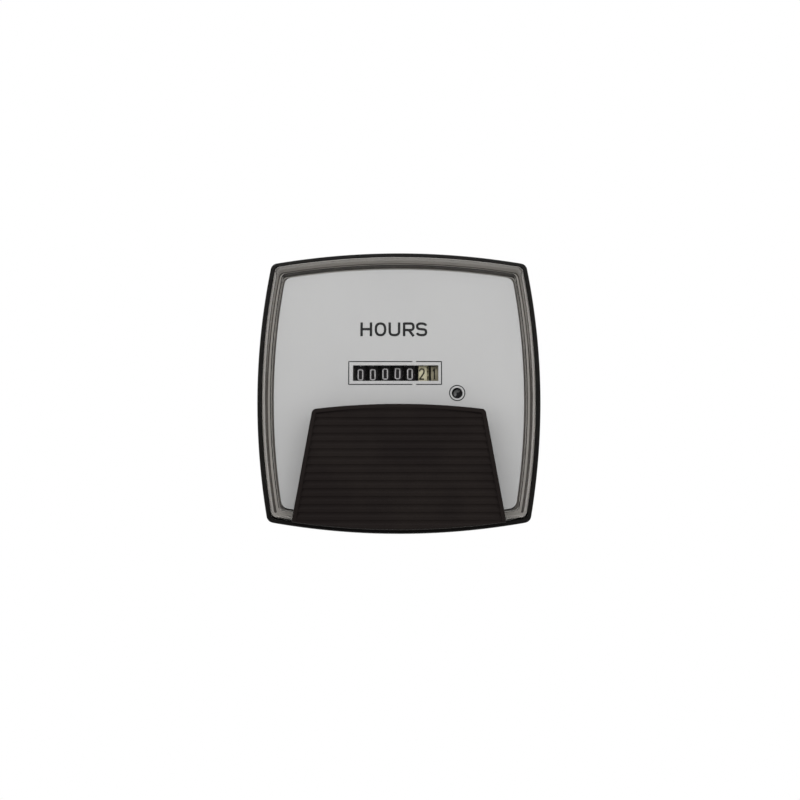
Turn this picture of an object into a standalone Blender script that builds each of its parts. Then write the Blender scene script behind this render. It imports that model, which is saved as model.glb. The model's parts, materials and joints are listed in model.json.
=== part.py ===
"""Panel hour meter: bowed square case, clear cover, ribbed lower cover, dial, number train and motor.

Lengths are metres. The meter faces -Y with +Z up, and the origin is on its axis, in the plane of the
panel that it is bolted to. Flat pieces are drawn as seen from the front: x to the right, y up, and the
third value is the height over the panel, positive towards the viewer.
"""
from math import atan2, cos, hypot, pi, radians, sin, sqrt, tau

import bmesh
import bpy
from mathutils import Matrix, Vector

# Clearances
GAP = 0.0003                  # between pieces that seat on each other, and between a hole and its pin
END_PLAY = 0.0004             # between turning pieces and what stands beside them

# Case outline, four bowed sides
CASE_WIDTH = 0.0880
CASE_HEIGHT = 0.0880
SIDE_BOW = 0.217              # radius of the left and right sides
TOP_BOW = 0.228               # radius of the top and bottom sides
CASE_CORNER = 0.0023

# Base housing
FLOOR = 0.0025                # plate that lies on the panel
RIM_HEIGHT = 0.0080
RIM_WALL = 0.00125
RIM_ROUND = 0.0005
POCKET_CORNER = 0.0016
BARREL_DEPTH = 0.0400         # behind the panel
BARREL_WALL = 0.0020
BARREL_BACK = 0.0025
BARREL_CLEARANCE = 0.0016     # round the movement

# Clear cover
COVER_HEIGHT = 0.0110         # its front face over the panel
COVER_WALL = 0.0024
COVER_FRONT = 0.0022
COVER_DRAFT = 0.00025         # how far a wall leans in over its height
COVER_EDGE = 0.0014
COVER_EDGE_SHARE = 0.3        # of the edge's round, where its middle ring lies
COVER_CORNER = 0.0018
COVER_INNER_CORNER = 0.0030

# Ribbed lower cover
LOWER_THICKNESS = 0.0018
LOWER_SKIRT = 0.0008
LOWER_EDGE = 0.0008
LOWER_APEX = -0.00465         # top of its arched edge
LOWER_ARCH = 0.215            # radius of that edge
LOWER_CORNER = 0.0015
LOWER_TOP_WIDTH = 0.0524
LOWER_SLOPE = radians(9.8)    # lean of its straight sides
RIB_COUNT = 14
RIB_PITCH = 0.0024
RIB_FIRST = 0.0049            # apex to the first groove
RIB_GROOVE = 0.0009
RIB_DEPTH = 0.0006
RIB_BORDER = 0.0014           # plain strip along each side

# Dial
DIAL_FRONT = 0.0060           # its front face over the panel
DIAL_THICKNESS = 0.0010
DIAL_CLEARANCE = 0.0006       # between its edge and the clear cover's wall
DIAL_POST_TO_SIDE = 0.0250    # post centre to the case's side
DIAL_POST_EDGE = 0.0039       # post centre to the dial's upper or lower edge
DIAL_POST_RADIUS = 0.0022
DIAL_SCREW_RADIUS = 0.00095
DIAL_HEAD_RADIUS = 0.0020
DIAL_HEAD = 0.0009
DIAL_SCREW_LENGTH = 0.0032

# Number train
WHEELS = ("wheel_10000_hours", "wheel_1000_hours", "wheel_100_hours", "wheel_10_hours", "wheel_1_hours",
          "wheel_tenths", "wheel_hundredths")
CREAM_WHEELS = 2              # the last ones, for the parts of an hour
COUNTER_X = -0.00028          # middle wheel
COUNTER_Z = 0.0060            # wheel axis
WHEEL_DIAMETER = 0.0140
WHEEL_WIDTH = 0.0026
WHEEL_PITCH = 0.00388
WHEEL_HUB_RADIUS = 0.0022
WHEEL_SHAFT_RADIUS = 0.0008
WHEEL_TO_DIAL = 0.0005
WINDOW_HEIGHT = 0.00484
WINDOW_SHIFT = -0.0006        # the window sits a little left of the wheels
WINDOW_TRIM = 0.0004          # and is this much shorter than their row
RING_TEETH = 20
RING_WIDTH = 0.0007
PINION_TEETH = 8
PINION_SHAFT_RADIUS = 0.0005

# Worm drive and running mark
RUN_OFFSET = 0.00576          # last wheel's side to the arbor
RUN_Z = -0.0005
RUN_HOLE_RADIUS = 0.00172
RUN_DISC_RADIUS = 0.0029
RUN_DISC = 0.0006
ARBOR_RADIUS = 0.0006
DRIVE_TEETH = 20
DRIVE_MODULE = 0.00045
DRIVE_WIDTH = 0.0012
DRIVE_HUB_RADIUS = 0.0018
WORM_TURNS = 4
WORM_SHARPNESS = 1.5          # how narrow the thread is at its crest
ARBOR_TEETH = 24
ROTOR_TEETH = 8
SPUR_MODULE = 0.00043
SPUR_WIDTH = 0.0012
ROTOR_BEARING = radians(235)  # direction from the arbor to the rotor

# Tooth form, in modules and in shares of the tooth pitch
ADDENDUM = 0.7
DEDENDUM = 1.0
TIP_SHARE = 0.22
ROOT_SHARE = 0.50

# Motor
PIVOT_RADIUS = 0.0005
MAGNET_RADIUS = 0.0027
MAGNET_WIDTH = 0.0024
MAGNET_GAP = 0.0004
MAGNET_TO_GEAR = 0.0005
MAGNET_TO_PLATE = 0.0007
STATOR_THICKNESS = 0.0014
STATOR_RIM = 0.0013           # metal round the magnet hole
STATOR_SPAN = 0.0281
STATOR_LEG = 0.0040
CORE_DROP = 0.0109            # rotor to the coil's axis
CORE_WIDTH = 0.0030
CORE_THICKNESS = 0.0014
BOBBIN_WALL = 0.0004
BOBBIN_FLANGE = 0.0008
BOBBIN_RADIUS = 0.0033
WINDING_RADIUS = 0.0030
LEAD_RADIUS = 0.00045

# Movement frame and front bridge
PLATE_THICKNESS = 0.0012
PLATE_CORNER = 0.0060
PLATE_TOP = 0.0140            # plate over the wheel axis
PLATE_BELOW_CORE = 0.0025
EAR_THICKNESS = 0.0010
EAR_HALF_HEIGHT = 0.0045
EAR_PAST_SHAFT = 0.0025
BRIDGE_THICKNESS = 0.0010
BRIDGE_TO_DISC = 0.0012
BRIDGE_MARGIN = 0.0020
BRIDGE_BOSS_RADIUS = 0.0022
PILLAR_RADIUS = 0.0015
PILLAR_RIGHT = (0.0033, -0.0076)  # from the arbor
PILLAR_LEFT = (-0.0062, 0.0)      # from the rotor

# Screws of the movement and the motor
SCREW_HEAD_RADIUS = 0.0022
SCREW_HEAD = 0.0012
SCREW_SLOT = 0.0006
MOVEMENT_SCREW_RADIUS = 0.0012
MOVEMENT_SCREW_LENGTH = 0.0065
MOTOR_SCREW_RADIUS = 0.0010
POST_RADIUS = 0.0035
SCREW_TO_EDGE = 0.0030

# Circuit board and terminals
BOARD_WIDTH = 0.0440
BOARD_BOTTOM = -0.0135
BOARD_TOP = 0.0128
BOARD_THICKNESS = 0.0016
TERMINAL_TO_EDGE = 0.0080     # stud's axis to the board's side
TERMINAL_Z = 0.0020
TERMINAL_BOSS_RADIUS = 0.0045
TERMINAL_BOSS = 0.0052
TERMINAL_RADIUS = 0.0020
TERMINAL_HEAD_RADIUS = 0.0040
TERMINAL_HEAD = 0.0020
TERMINAL_REACH = 0.0140       # behind the barrel
TERMINAL_NUT_RADIUS = 0.0040
TERMINAL_NUT = 0.0032
WASHER_THICKNESS = 0.0008
WASHER_RADIUS = 0.0045
CAPACITOR_RADIUS = 0.0040
CAPACITOR_TO_PLATE = 0.0033
CAPACITOR_Z = -0.0060
CRYSTAL_RADIUS = 0.0015
CRYSTAL_LENGTH = 0.0080
CHIP_SIZE = (0.0100, 0.0060, 0.0020)

# Mounting studs
STUD_RADIUS = 0.00175
STUD_LENGTH = 0.0160          # behind the panel
STUD_HEAD_RADIUS = 0.0035
STUD_HEAD = 0.0015
STUD_NUT_RADIUS = 0.0046      # over its corners
STUD_NUT = 0.0028
STUD_FLANGE_RADIUS = 0.00475
STUD_FLANGE = 0.0008
STUD_TO_BARREL = 0.0010
STUD_TO_SIDE = 0.0146         # stud's axis to the case's side
PANEL_THICKNESS = 0.0030      # the nuts leave this much room behind the rim

# Facets
ROUND = 20
SMALL_ROUND = 12
SIDE_STEPS = 8                # along a bowed side
CORNER_STEPS = 4
WORM_RINGS = 4                # sections in each turn of the worm
LEAD_STEPS = 3                # sections between two points of a wire
LEAD_ROUND_STEPS = 1          # sides added to a wire's four in each quarter
SHARP = radians(35)
SINK = 0.0003                 # how deep a joined shape starts inside its neighbour

# Turns: a front drawing stands up to face -Y, and a train drawing lies along +X
FRONT = (pi / 2, 0, 0)
ALONG_X = (0, pi / 2, 0)

# Worked out from the sizes above
DIAL_POST_X = CASE_WIDTH / 2 - DIAL_POST_TO_SIDE
TERMINAL_X = BOARD_WIDTH / 2 - TERMINAL_TO_EDGE
DIAL_BACK = DIAL_FRONT - DIAL_THICKNESS
COVER_FOOT = FLOOR + GAP
WHEEL_H = DIAL_BACK - WHEEL_TO_DIAL - WHEEL_DIAMETER / 2
TRANSFER = WHEEL_DIAMETER / 2 + PINION_SHAFT_RADIUS + END_PLAY
TRANSFER_MODULE = 2 * TRANSFER / (RING_TEETH + PINION_TEETH)
PINION_H = WHEEL_H - TRANSFER
TRAIN_LEFT = COUNTER_X - (len(WHEELS) - 1) / 2 * WHEEL_PITCH - WHEEL_WIDTH / 2
TRAIN_RIGHT = COUNTER_X + (len(WHEELS) - 1) / 2 * WHEEL_PITCH + WHEEL_WIDTH / 2
WINDOW_WIDTH = len(WHEELS) * WHEEL_PITCH - WINDOW_TRIM
RUN_X = TRAIN_RIGHT + RUN_OFFSET
DRIVE_PITCH_RADIUS = DRIVE_TEETH * DRIVE_MODULE / 2
WORM_PITCH_RADIUS = COUNTER_Z - RUN_Z - DRIVE_PITCH_RADIUS
WORM_LEAD = pi * DRIVE_MODULE
SPUR_DISTANCE = (ARBOR_TEETH + ROTOR_TEETH) * SPUR_MODULE / 2
ARBOR_GEAR_TIP = (ARBOR_TEETH / 2 + ADDENDUM) * SPUR_MODULE
ARBOR_GEAR_FRONT = WHEEL_H - WHEEL_DIAMETER / 2 - GAP
ARBOR_GEAR_BACK = ARBOR_GEAR_FRONT - SPUR_WIDTH
ROTOR_X = RUN_X + SPUR_DISTANCE * cos(ROTOR_BEARING)
ROTOR_Z = RUN_Z + SPUR_DISTANCE * sin(ROTOR_BEARING)
MAGNET_FRONT = ARBOR_GEAR_BACK - MAGNET_TO_GEAR
MAGNET_BACK = MAGNET_FRONT - MAGNET_WIDTH
STATOR_FRONT = (MAGNET_FRONT + MAGNET_BACK + STATOR_THICKNESS) / 2
STATOR_BACK = STATOR_FRONT - STATOR_THICKNESS
STATOR_HALF = MAGNET_RADIUS + MAGNET_GAP + STATOR_RIM
STATOR_RIGHT = ROTOR_X + STATOR_HALF
STATOR_LEFT = STATOR_RIGHT - STATOR_SPAN
CORE_BACK = STATOR_FRONT + GAP
CORE_FRONT = CORE_BACK + CORE_THICKNESS
CORE_H = (CORE_BACK + CORE_FRONT) / 2
CORE_Z = ROTOR_Z - CORE_DROP
MOTOR_SCREWS = (("motor_screw_left", STATOR_LEFT + STATOR_LEG / 2),
                ("motor_screw_right", STATOR_RIGHT - STATOR_LEG / 2))
BOBBIN_HOLE = hypot(CORE_WIDTH, CORE_THICKNESS) / 2 + GAP
BOBBIN_LEFT = STATOR_LEFT + STATOR_LEG / 2 + SCREW_HEAD_RADIUS + END_PLAY
BOBBIN_RIGHT = STATOR_RIGHT - STATOR_LEG / 2 - SCREW_HEAD_RADIUS - END_PLAY
PLATE_FRONT = min(MAGNET_BACK - MAGNET_TO_PLATE, CORE_H - BOBBIN_RADIUS - GAP)
PLATE_BACK = PLATE_FRONT - PLATE_THICKNESS
DISC_FRONT = DIAL_BACK - WHEEL_TO_DIAL
DISC_BACK = DISC_FRONT - RUN_DISC
BRIDGE_FRONT = DISC_BACK - BRIDGE_TO_DISC
BRIDGE_BACK = BRIDGE_FRONT - BRIDGE_THICKNESS
PILLARS = (("bridge_pillar_right", RUN_X + PILLAR_RIGHT[0], RUN_Z + PILLAR_RIGHT[1]),
           ("bridge_pillar_left", ROTOR_X + PILLAR_LEFT[0], ROTOR_Z + PILLAR_LEFT[1]))
EAR_LEFT = TRAIN_LEFT - END_PLAY - EAR_THICKNESS
EAR_RIGHT = RUN_X + ARBOR_GEAR_TIP + END_PLAY
PLATE_BOTTOM = CORE_Z - CORE_WIDTH / 2 - PLATE_BELOW_CORE
SCREW_LEFT_X = STATOR_LEFT - SCREW_HEAD_RADIUS - END_PLAY
SCREW_RIGHT_X = EAR_RIGHT + EAR_THICKNESS - SCREW_TO_EDGE
PLATE_LEFT = min(EAR_LEFT, SCREW_LEFT_X - SCREW_TO_EDGE)
PLATE_RIGHT = EAR_RIGHT + EAR_THICKNESS
PLATE_UP = COUNTER_Z + PLATE_TOP
MOVEMENT_SCREWS = (("movement_screw_left", SCREW_LEFT_X, PLATE_BOTTOM + SCREW_TO_EDGE),
                   ("movement_screw_right", SCREW_RIGHT_X, PLATE_BOTTOM + SCREW_TO_EDGE),
                   ("movement_screw_top", (PLATE_LEFT + PLATE_RIGHT) / 2, PLATE_UP - SCREW_TO_EDGE))
MOVEMENT_REACH = max([hypot(x, z) + POST_RADIUS for _, x, z in MOVEMENT_SCREWS]
                     + [hypot(x, z) + PLATE_CORNER
                        for x in (PLATE_LEFT + PLATE_CORNER, PLATE_RIGHT - PLATE_CORNER)
                        for z in (PLATE_BOTTOM + PLATE_CORNER, PLATE_UP - PLATE_CORNER)])
BARREL_BORE = MOVEMENT_REACH + BARREL_CLEARANCE
BARREL_RADIUS = BARREL_BORE + BARREL_WALL
INNER_BACK = -BARREL_DEPTH + BARREL_BACK
BOARD_BACK = INNER_BACK + TERMINAL_BOSS + GAP
BOARD_FRONT = BOARD_BACK + BOARD_THICKNESS
CAPACITOR_LENGTH = PLATE_BACK - CAPACITOR_TO_PLATE - BOARD_FRONT - GAP
STUD_REACH = BARREL_RADIUS + STUD_FLANGE_RADIUS + STUD_TO_BARREL
STUD_X = CASE_WIDTH / 2 - STUD_TO_SIDE
STUD_Z = CASE_HEIGHT / 2 - STUD_TO_SIDE
# in a narrow case the studs stand further out along its long sides, clear of the barrel
if CASE_WIDTH < CASE_HEIGHT:
    STUD_Z = max(STUD_Z, sqrt(STUD_REACH ** 2 - STUD_X ** 2))
else:
    STUD_X = max(STUD_X, sqrt(STUD_REACH ** 2 - STUD_Z ** 2))
LOWER_BACK = COVER_HEIGHT + GAP
LOWER_FRONT = LOWER_BACK + LOWER_THICKNESS
LOWER_FOOT = RIM_HEIGHT + GAP


def cover_inset(height):
    """How far the clear cover's outer wall lies inside the case outline at a height."""
    share = (height - COVER_FOOT) / (COVER_HEIGHT - COVER_FOOT)
    return RIM_WALL + GAP + COVER_DRAFT * share


DIAL_INSET = cover_inset(DIAL_FRONT) + COVER_WALL + DIAL_CLEARANCE
DIAL_POST_Z = CASE_HEIGHT / 2 - DIAL_INSET - DIAL_POST_EDGE


# Materials

def material(name, colour, roughness, metallic=0.0, transmission=0.0):
    """A Principled material, made once."""
    found = bpy.data.materials.get(name)
    if found:
        return found
    made = bpy.data.materials.new(name)
    made.use_nodes = True
    shader = made.node_tree.nodes["Principled BSDF"]
    shader.inputs["Base Color"].default_value = (*colour, 1.0)
    shader.inputs["Roughness"].default_value = roughness
    shader.inputs["Metallic"].default_value = metallic
    shader.inputs["Transmission Weight"].default_value = transmission
    return made


def black_plastic():
    return material("black_plastic", (0.012, 0.011, 0.010), 0.45)


def clear_plastic():
    return material("clear_plastic", (0.95, 0.96, 0.95), 0.05, transmission=1.0)


def grey_paint():
    return material("grey_paint", (0.50, 0.50, 0.50), 0.6)


def cream_plastic():
    return material("cream_plastic", (0.55, 0.50, 0.34), 0.5)


def white_plastic():
    return material("white_plastic", (0.75, 0.75, 0.72), 0.5)


def steel():
    return material("steel", (0.60, 0.60, 0.58), 0.35, 1.0)


def brass():
    return material("brass", (0.70, 0.50, 0.20), 0.3, 1.0)


def magnet_grey():
    return material("magnet_grey", (0.08, 0.08, 0.09), 0.5, 0.4)


def copper_wire():
    return material("copper_wire", (0.55, 0.20, 0.08), 0.35, 0.8)


def board_green():
    return material("board_green", (0.03, 0.16, 0.06), 0.5)


def red_insulation():
    return material("red_insulation", (0.45, 0.03, 0.02), 0.5)


# Bodies

def lofted(rings):
    """A closed body through outlines with equally many points, given as (outline, height) pairs."""
    body = bmesh.new()
    loops = [[body.verts.new((x, y, height)) for x, y in outline] for outline, height in rings]
    for lower, upper in zip(loops, loops[1:]):
        for a, b, c, d in zip(lower, lower[1:] + lower[:1], upper[1:] + upper[:1], upper):
            body.faces.new((a, b, c, d))
    body.faces.new(loops[0])
    body.faces.new(loops[-1])
    return body


def prism(outline, low, high):
    return lofted([(outline, low), (outline, high)])


def turned(profile, segments=ROUND):
    """A body spun about the local z axis. The profile's points are (radius, z), and one that starts
    off the axis is a closed loop, which leaves a bore."""
    body = bmesh.new()
    points = [body.verts.new((radius, 0, z)) for radius, z in profile]
    edges = [body.edges.new(pair) for pair in zip(points, points[1:])]
    if profile[0][0] > 0:
        edges.append(body.edges.new((points[-1], points[0])))
    bmesh.ops.spin(body, geom=points + edges, axis=(0, 0, 1), cent=(0, 0, 0),
                   angle=tau, steps=segments, use_merge=True)
    bmesh.ops.remove_doubles(body, verts=body.verts, dist=1e-7)
    return body


def add_rod(body, x, y, radius, low, high, segments=ROUND):
    """Adds a solid rod that stands on the drawing plane."""
    bmesh.ops.create_cone(body, cap_ends=True, segments=segments, radius1=radius, radius2=radius,
                          depth=high - low, matrix=Matrix.Translation((x, y, (low + high) / 2)))


def add_block(body, low, high):
    """Adds a rectangular block between two corners."""
    middle = [(a + b) / 2 for a, b in zip(low, high)]
    size = [b - a for a, b in zip(low, high)]
    bmesh.ops.create_cube(body, size=1, matrix=Matrix.Translation(middle) @ Matrix.Diagonal((*size, 1)))


def arc(centre, radius, start, end, steps):
    """Points along an arc, with its start and without its end."""
    return [(centre[0] + radius * cos(start + (end - start) * i / steps),
             centre[1] + radius * sin(start + (end - start) * i / steps)) for i in range(steps)]


def ring(radius, segments, start=0.0):
    return arc((0, 0), radius, start, start + tau, segments)


def rounded_box(left, right, bottom, top, corner):
    """A rectangle with round corners."""
    centres = ((right - corner, top - corner), (left + corner, top - corner),
               (left + corner, bottom + corner), (right - corner, bottom + corner))
    points = []
    for quarter, centre in enumerate(centres):
        start = quarter * pi / 2
        points += arc(centre, corner, start, start + pi / 2, CORNER_STEPS)
        points.append((centre[0] + corner * cos(start + pi / 2), centre[1] + corner * sin(start + pi / 2)))
    return points


def case_outline(inset, corner):
    """The bowed square, moved in by an inset, with its own corner radius."""
    side_centre = CASE_WIDTH / 2 - SIDE_BOW
    top_centre = CASE_HEIGHT / 2 - TOP_BOW
    side_reach = SIDE_BOW - inset - corner
    top_reach = TOP_BOW - inset - corner
    # the corner's centre is where circles about the two bow centres meet
    apart = hypot(side_centre, top_centre)
    along = (side_reach ** 2 - top_reach ** 2 + apart ** 2) / (2 * apart)
    across = sqrt(side_reach ** 2 - along ** 2)
    direction = (-side_centre / apart, top_centre / apart)
    x = side_centre + along * direction[0] - across * direction[1]
    y = along * direction[1] + across * direction[0]
    side_angle = atan2(y, x - side_centre)
    top_angle = atan2(y - top_centre, x)
    quarter = arc((x, y), corner, side_angle, top_angle, CORNER_STEPS)
    right = arc((side_centre, 0), SIDE_BOW - inset, -side_angle, side_angle, SIDE_STEPS)
    top = arc((0, top_centre), TOP_BOW - inset, top_angle, pi - top_angle, SIDE_STEPS)
    far_quarter = arc((-x, y), corner, pi - top_angle, pi - side_angle, CORNER_STEPS)
    half = right + quarter + top + far_quarter
    # the left and bottom sides are the right and top ones turned half round
    return half + [(-px, -py) for px, py in half]


def gear_outline(teeth, module, turn=0.0):
    """Straight-flanked teeth, with the first tooth's middle at an angle."""
    pitch = tau / teeth
    tip = (teeth / 2 + ADDENDUM) * module
    root = (teeth / 2 - DEDENDUM) * module
    flanks = ((root, -ROOT_SHARE / 2), (tip, -TIP_SHARE / 2), (tip, TIP_SHARE / 2), (root, ROOT_SHARE / 2))
    return [(radius * cos(turn + (tooth + share) * pitch), radius * sin(turn + (tooth + share) * pitch))
            for tooth in range(teeth) for radius, share in flanks]


# Objects

def piece(name, body, finish, place=(0, 0, 0), turn=FRONT):
    """A named object made of a body, with its origin where it turns or sits."""
    bmesh.ops.recalc_face_normals(body, faces=body.faces)
    mesh = bpy.data.meshes.new(name)
    body.to_mesh(mesh)
    body.free()
    mesh.materials.append(finish)
    mesh.shade_smooth()
    mesh.set_sharp_from_angle(angle=SHARP)
    made = bpy.data.objects.new(name, mesh)
    made.location = place
    made.rotation_euler = turn
    bpy.context.scene.collection.objects.link(made)
    return made


def shape_with(target, body, operation):
    """Joins, cuts or trims an object by a body drawn in that object's own axes."""
    name = f"{target.name}_{operation.lower()}_{len(target.modifiers)}"
    tool = piece(name, body, target.data.materials[0], target.location, target.rotation_euler)
    tool.hide_render = True
    tool.display_type = "WIRE"
    change = target.modifiers.new(name, "BOOLEAN")
    change.operation = operation
    change.object = tool


def join(target, body):
    shape_with(target, body, "UNION")


def cut(target, body):
    shape_with(target, body, "DIFFERENCE")


def front_point(x, z, height=0.0):
    """A place on the front drawing as a point of the scene."""
    return (x, -height, z)


# Case

def base_housing():
    """Tray with a rim, the barrel behind the panel, and the posts and bosses inside."""
    base = piece("base_housing", lofted([
        (case_outline(0, CASE_CORNER), 0),
        (case_outline(0, CASE_CORNER), RIM_HEIGHT - RIM_ROUND),
        (case_outline(RIM_ROUND, CASE_CORNER), RIM_HEIGHT),
        (case_outline(RIM_WALL, POCKET_CORNER), RIM_HEIGHT),
        (case_outline(RIM_WALL, POCKET_CORNER), FLOOR),
    ]), black_plastic())
    barrel = turned([(0, -BARREL_DEPTH), (BARREL_RADIUS - RIM_ROUND, -BARREL_DEPTH),
                     (BARREL_RADIUS, RIM_ROUND - BARREL_DEPTH), (BARREL_RADIUS, SINK), (0, SINK)],
                    2 * ROUND)
    join(base, barrel)
    bore = bmesh.new()
    add_rod(bore, 0, 0, BARREL_BORE, INNER_BACK, (FLOOR + RIM_HEIGHT) / 2, 2 * ROUND)
    cut(base, bore)
    posts = bmesh.new()
    for _, x, z in MOVEMENT_SCREWS:
        add_rod(posts, x, z, POST_RADIUS, INNER_BACK - SINK, PLATE_BACK - GAP, SMALL_ROUND)
    for side in (-1, 1):
        add_rod(posts, side * TERMINAL_X, TERMINAL_Z, TERMINAL_BOSS_RADIUS,
                INNER_BACK - SINK, INNER_BACK + TERMINAL_BOSS)
        for end in (-1, 1):
            add_rod(posts, side * DIAL_POST_X, end * DIAL_POST_Z, DIAL_POST_RADIUS,
                    FLOOR - SINK, DIAL_BACK - GAP, SMALL_ROUND)
    join(base, posts)
    holes = bmesh.new()
    for _, x, z in MOVEMENT_SCREWS:
        add_rod(holes, x, z, MOVEMENT_SCREW_RADIUS + GAP,
                PLATE_FRONT - MOVEMENT_SCREW_LENGTH - GAP, PLATE_BACK, SMALL_ROUND)
    for side in (-1, 1):
        add_rod(holes, side * TERMINAL_X, TERMINAL_Z, TERMINAL_RADIUS + GAP,
                -BARREL_DEPTH - FLOOR, BOARD_BACK, SMALL_ROUND)
        add_rod(holes, side * DIAL_POST_X, -DIAL_POST_Z, DIAL_SCREW_RADIUS + GAP,
                DIAL_FRONT - DIAL_SCREW_LENGTH - GAP, DIAL_BACK, SMALL_ROUND)
        for end in (-1, 1):
            add_rod(holes, side * STUD_X, end * STUD_Z, STUD_RADIUS + GAP, -FLOOR, 2 * FLOOR, SMALL_ROUND)
    cut(base, holes)


def clear_cover():
    """Clear tray that stands inside the rim, its walls leaning in a little."""
    outer_top = cover_inset(COVER_HEIGHT)
    inner_top = COVER_HEIGHT - COVER_FRONT
    edge = COVER_EDGE_SHARE * COVER_EDGE
    piece("clear_cover", lofted([
        (case_outline(outer_top + COVER_EDGE, COVER_CORNER), COVER_HEIGHT),
        (case_outline(outer_top + edge, COVER_CORNER), COVER_HEIGHT - edge),
        (case_outline(cover_inset(COVER_HEIGHT - COVER_EDGE), COVER_CORNER), COVER_HEIGHT - COVER_EDGE),
        (case_outline(cover_inset(COVER_FOOT), COVER_CORNER), COVER_FOOT),
        (case_outline(cover_inset(COVER_FOOT) + COVER_WALL, COVER_INNER_CORNER), COVER_FOOT),
        (case_outline(cover_inset(inner_top) + COVER_WALL, COVER_INNER_CORNER), inner_top - COVER_EDGE),
        (case_outline(cover_inset(inner_top) + COVER_WALL + COVER_EDGE, COVER_INNER_CORNER), inner_top),
    ]), clear_plastic())


def lower_half_width(z):
    """Half the lower cover's width at a height on the front."""
    return LOWER_TOP_WIDTH / 2 + (LOWER_APEX - z) * sin(LOWER_SLOPE) / cos(LOWER_SLOPE)


def lower_outline(inset):
    """Straight sides that spread downwards under an arched top with round corners, moved in by an
    inset. The bottom lies past the case, which trims it."""
    corner = LOWER_CORNER
    arch_centre = LOWER_APEX - LOWER_ARCH
    reach = LOWER_ARCH - inset - corner
    # the corner's centre is on the line beside the slanted side and on the circle under the arch
    normal = (cos(LOWER_SLOPE), sin(LOWER_SLOPE))
    side = lower_half_width(0) * normal[0] - inset - corner
    z = LOWER_APEX
    for _ in range(20):
        x = (side - z * normal[1]) / normal[0]
        z = arch_centre + sqrt(reach ** 2 - x ** 2)
    arch_angle = atan2(z - arch_centre, x)
    right = arc((x, z), corner, LOWER_SLOPE, arch_angle, CORNER_STEPS)
    top = arc((0, arch_centre), LOWER_ARCH - inset, arch_angle, pi - arch_angle, 2 * SIDE_STEPS)
    left = arc((-x, z), corner, pi - arch_angle, pi - LOWER_SLOPE, CORNER_STEPS + 1)
    bottom = -CASE_HEIGHT / 2 - FLOOR
    foot = (side + inset + corner - bottom * normal[1]) / normal[0] - inset
    return right + top + left + [(-foot, bottom), (foot, bottom)]


def lower_cover():
    """Ribbed cover over the lower half of the clear cover's front, with a skirt down to the rim."""
    cover = piece("lower_cover", lofted([
        (lower_outline(0), LOWER_FOOT),
        (lower_outline(0), LOWER_FRONT - LOWER_EDGE),
        (lower_outline(LOWER_EDGE), LOWER_FRONT),
    ]), black_plastic())
    skirt = GAP + LOWER_SKIRT
    front_inset = cover_inset(LOWER_FRONT - LOWER_EDGE) - skirt
    shape_with(cover, lofted([
        (case_outline(cover_inset(FLOOR) - skirt, COVER_CORNER + skirt), FLOOR),
        (case_outline(front_inset, COVER_CORNER + skirt), LOWER_FRONT - LOWER_EDGE),
        (case_outline(front_inset + LOWER_EDGE, COVER_CORNER + skirt), LOWER_FRONT),
        (case_outline(front_inset + LOWER_EDGE, COVER_CORNER + skirt), 2 * LOWER_FRONT),
    ]), "INTERSECT")
    edge = COVER_EDGE_SHARE * COVER_EDGE
    cut(cover, lofted([
        (case_outline(cover_inset(0) - GAP, COVER_CORNER), 0),
        (case_outline(cover_inset(COVER_HEIGHT - COVER_EDGE) - GAP, COVER_CORNER), COVER_HEIGHT - COVER_EDGE),
        (case_outline(cover_inset(COVER_HEIGHT) + edge - GAP, COVER_CORNER), LOWER_BACK - edge),
        (case_outline(cover_inset(COVER_HEIGHT) + COVER_EDGE - GAP, COVER_CORNER), LOWER_BACK),
    ]))
    grooves = bmesh.new()
    for rib in range(RIB_COUNT):
        z = LOWER_APEX - RIB_FIRST - rib * RIB_PITCH
        half = lower_half_width(z + RIB_GROOVE) - RIB_BORDER
        add_block(grooves, (-half, z - RIB_GROOVE / 2, LOWER_FRONT - RIB_DEPTH),
                  (half, z + RIB_GROOVE / 2, LOWER_FRONT + RIB_DEPTH))
    cut(cover, grooves)


def dial_plate():
    """Painted sheet with the number window, the running-mark hole and two screw holes."""
    dial = piece("dial_plate", prism(case_outline(DIAL_INSET, COVER_INNER_CORNER), DIAL_BACK, DIAL_FRONT),
                 grey_paint())
    holes = bmesh.new()
    middle = COUNTER_X + WINDOW_SHIFT
    add_block(holes, (middle - WINDOW_WIDTH / 2, COUNTER_Z - WINDOW_HEIGHT / 2, DIAL_BACK - FLOOR),
              (middle + WINDOW_WIDTH / 2, COUNTER_Z + WINDOW_HEIGHT / 2, DIAL_FRONT + FLOOR))
    add_rod(holes, RUN_X, RUN_Z, RUN_HOLE_RADIUS, DIAL_BACK - FLOOR, DIAL_FRONT + FLOOR)
    for side in (-1, 1):
        add_rod(holes, side * DIAL_POST_X, -DIAL_POST_Z, DIAL_SCREW_RADIUS + GAP,
                DIAL_BACK - FLOOR, DIAL_FRONT + FLOOR, SMALL_ROUND)
    cut(dial, holes)


# Screws and nuts

def slotted_screw(name, x, z, seat, head_radius, head, radius, length):
    """A screw that faces the viewer: its head sits on a face and its shank runs back from there."""
    screw = piece(name, turned([(0, -length), (radius, -length), (radius, 0), (head_radius, 0),
                                (head_radius, head), (0, head)], SMALL_ROUND),
                  steel(), front_point(x, z, seat + GAP))
    slot = bmesh.new()
    add_block(slot, (-2 * head_radius, -SCREW_SLOT / 2, head / 2),
              (2 * head_radius, SCREW_SLOT / 2, 2 * head))
    cut(screw, slot)


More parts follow.
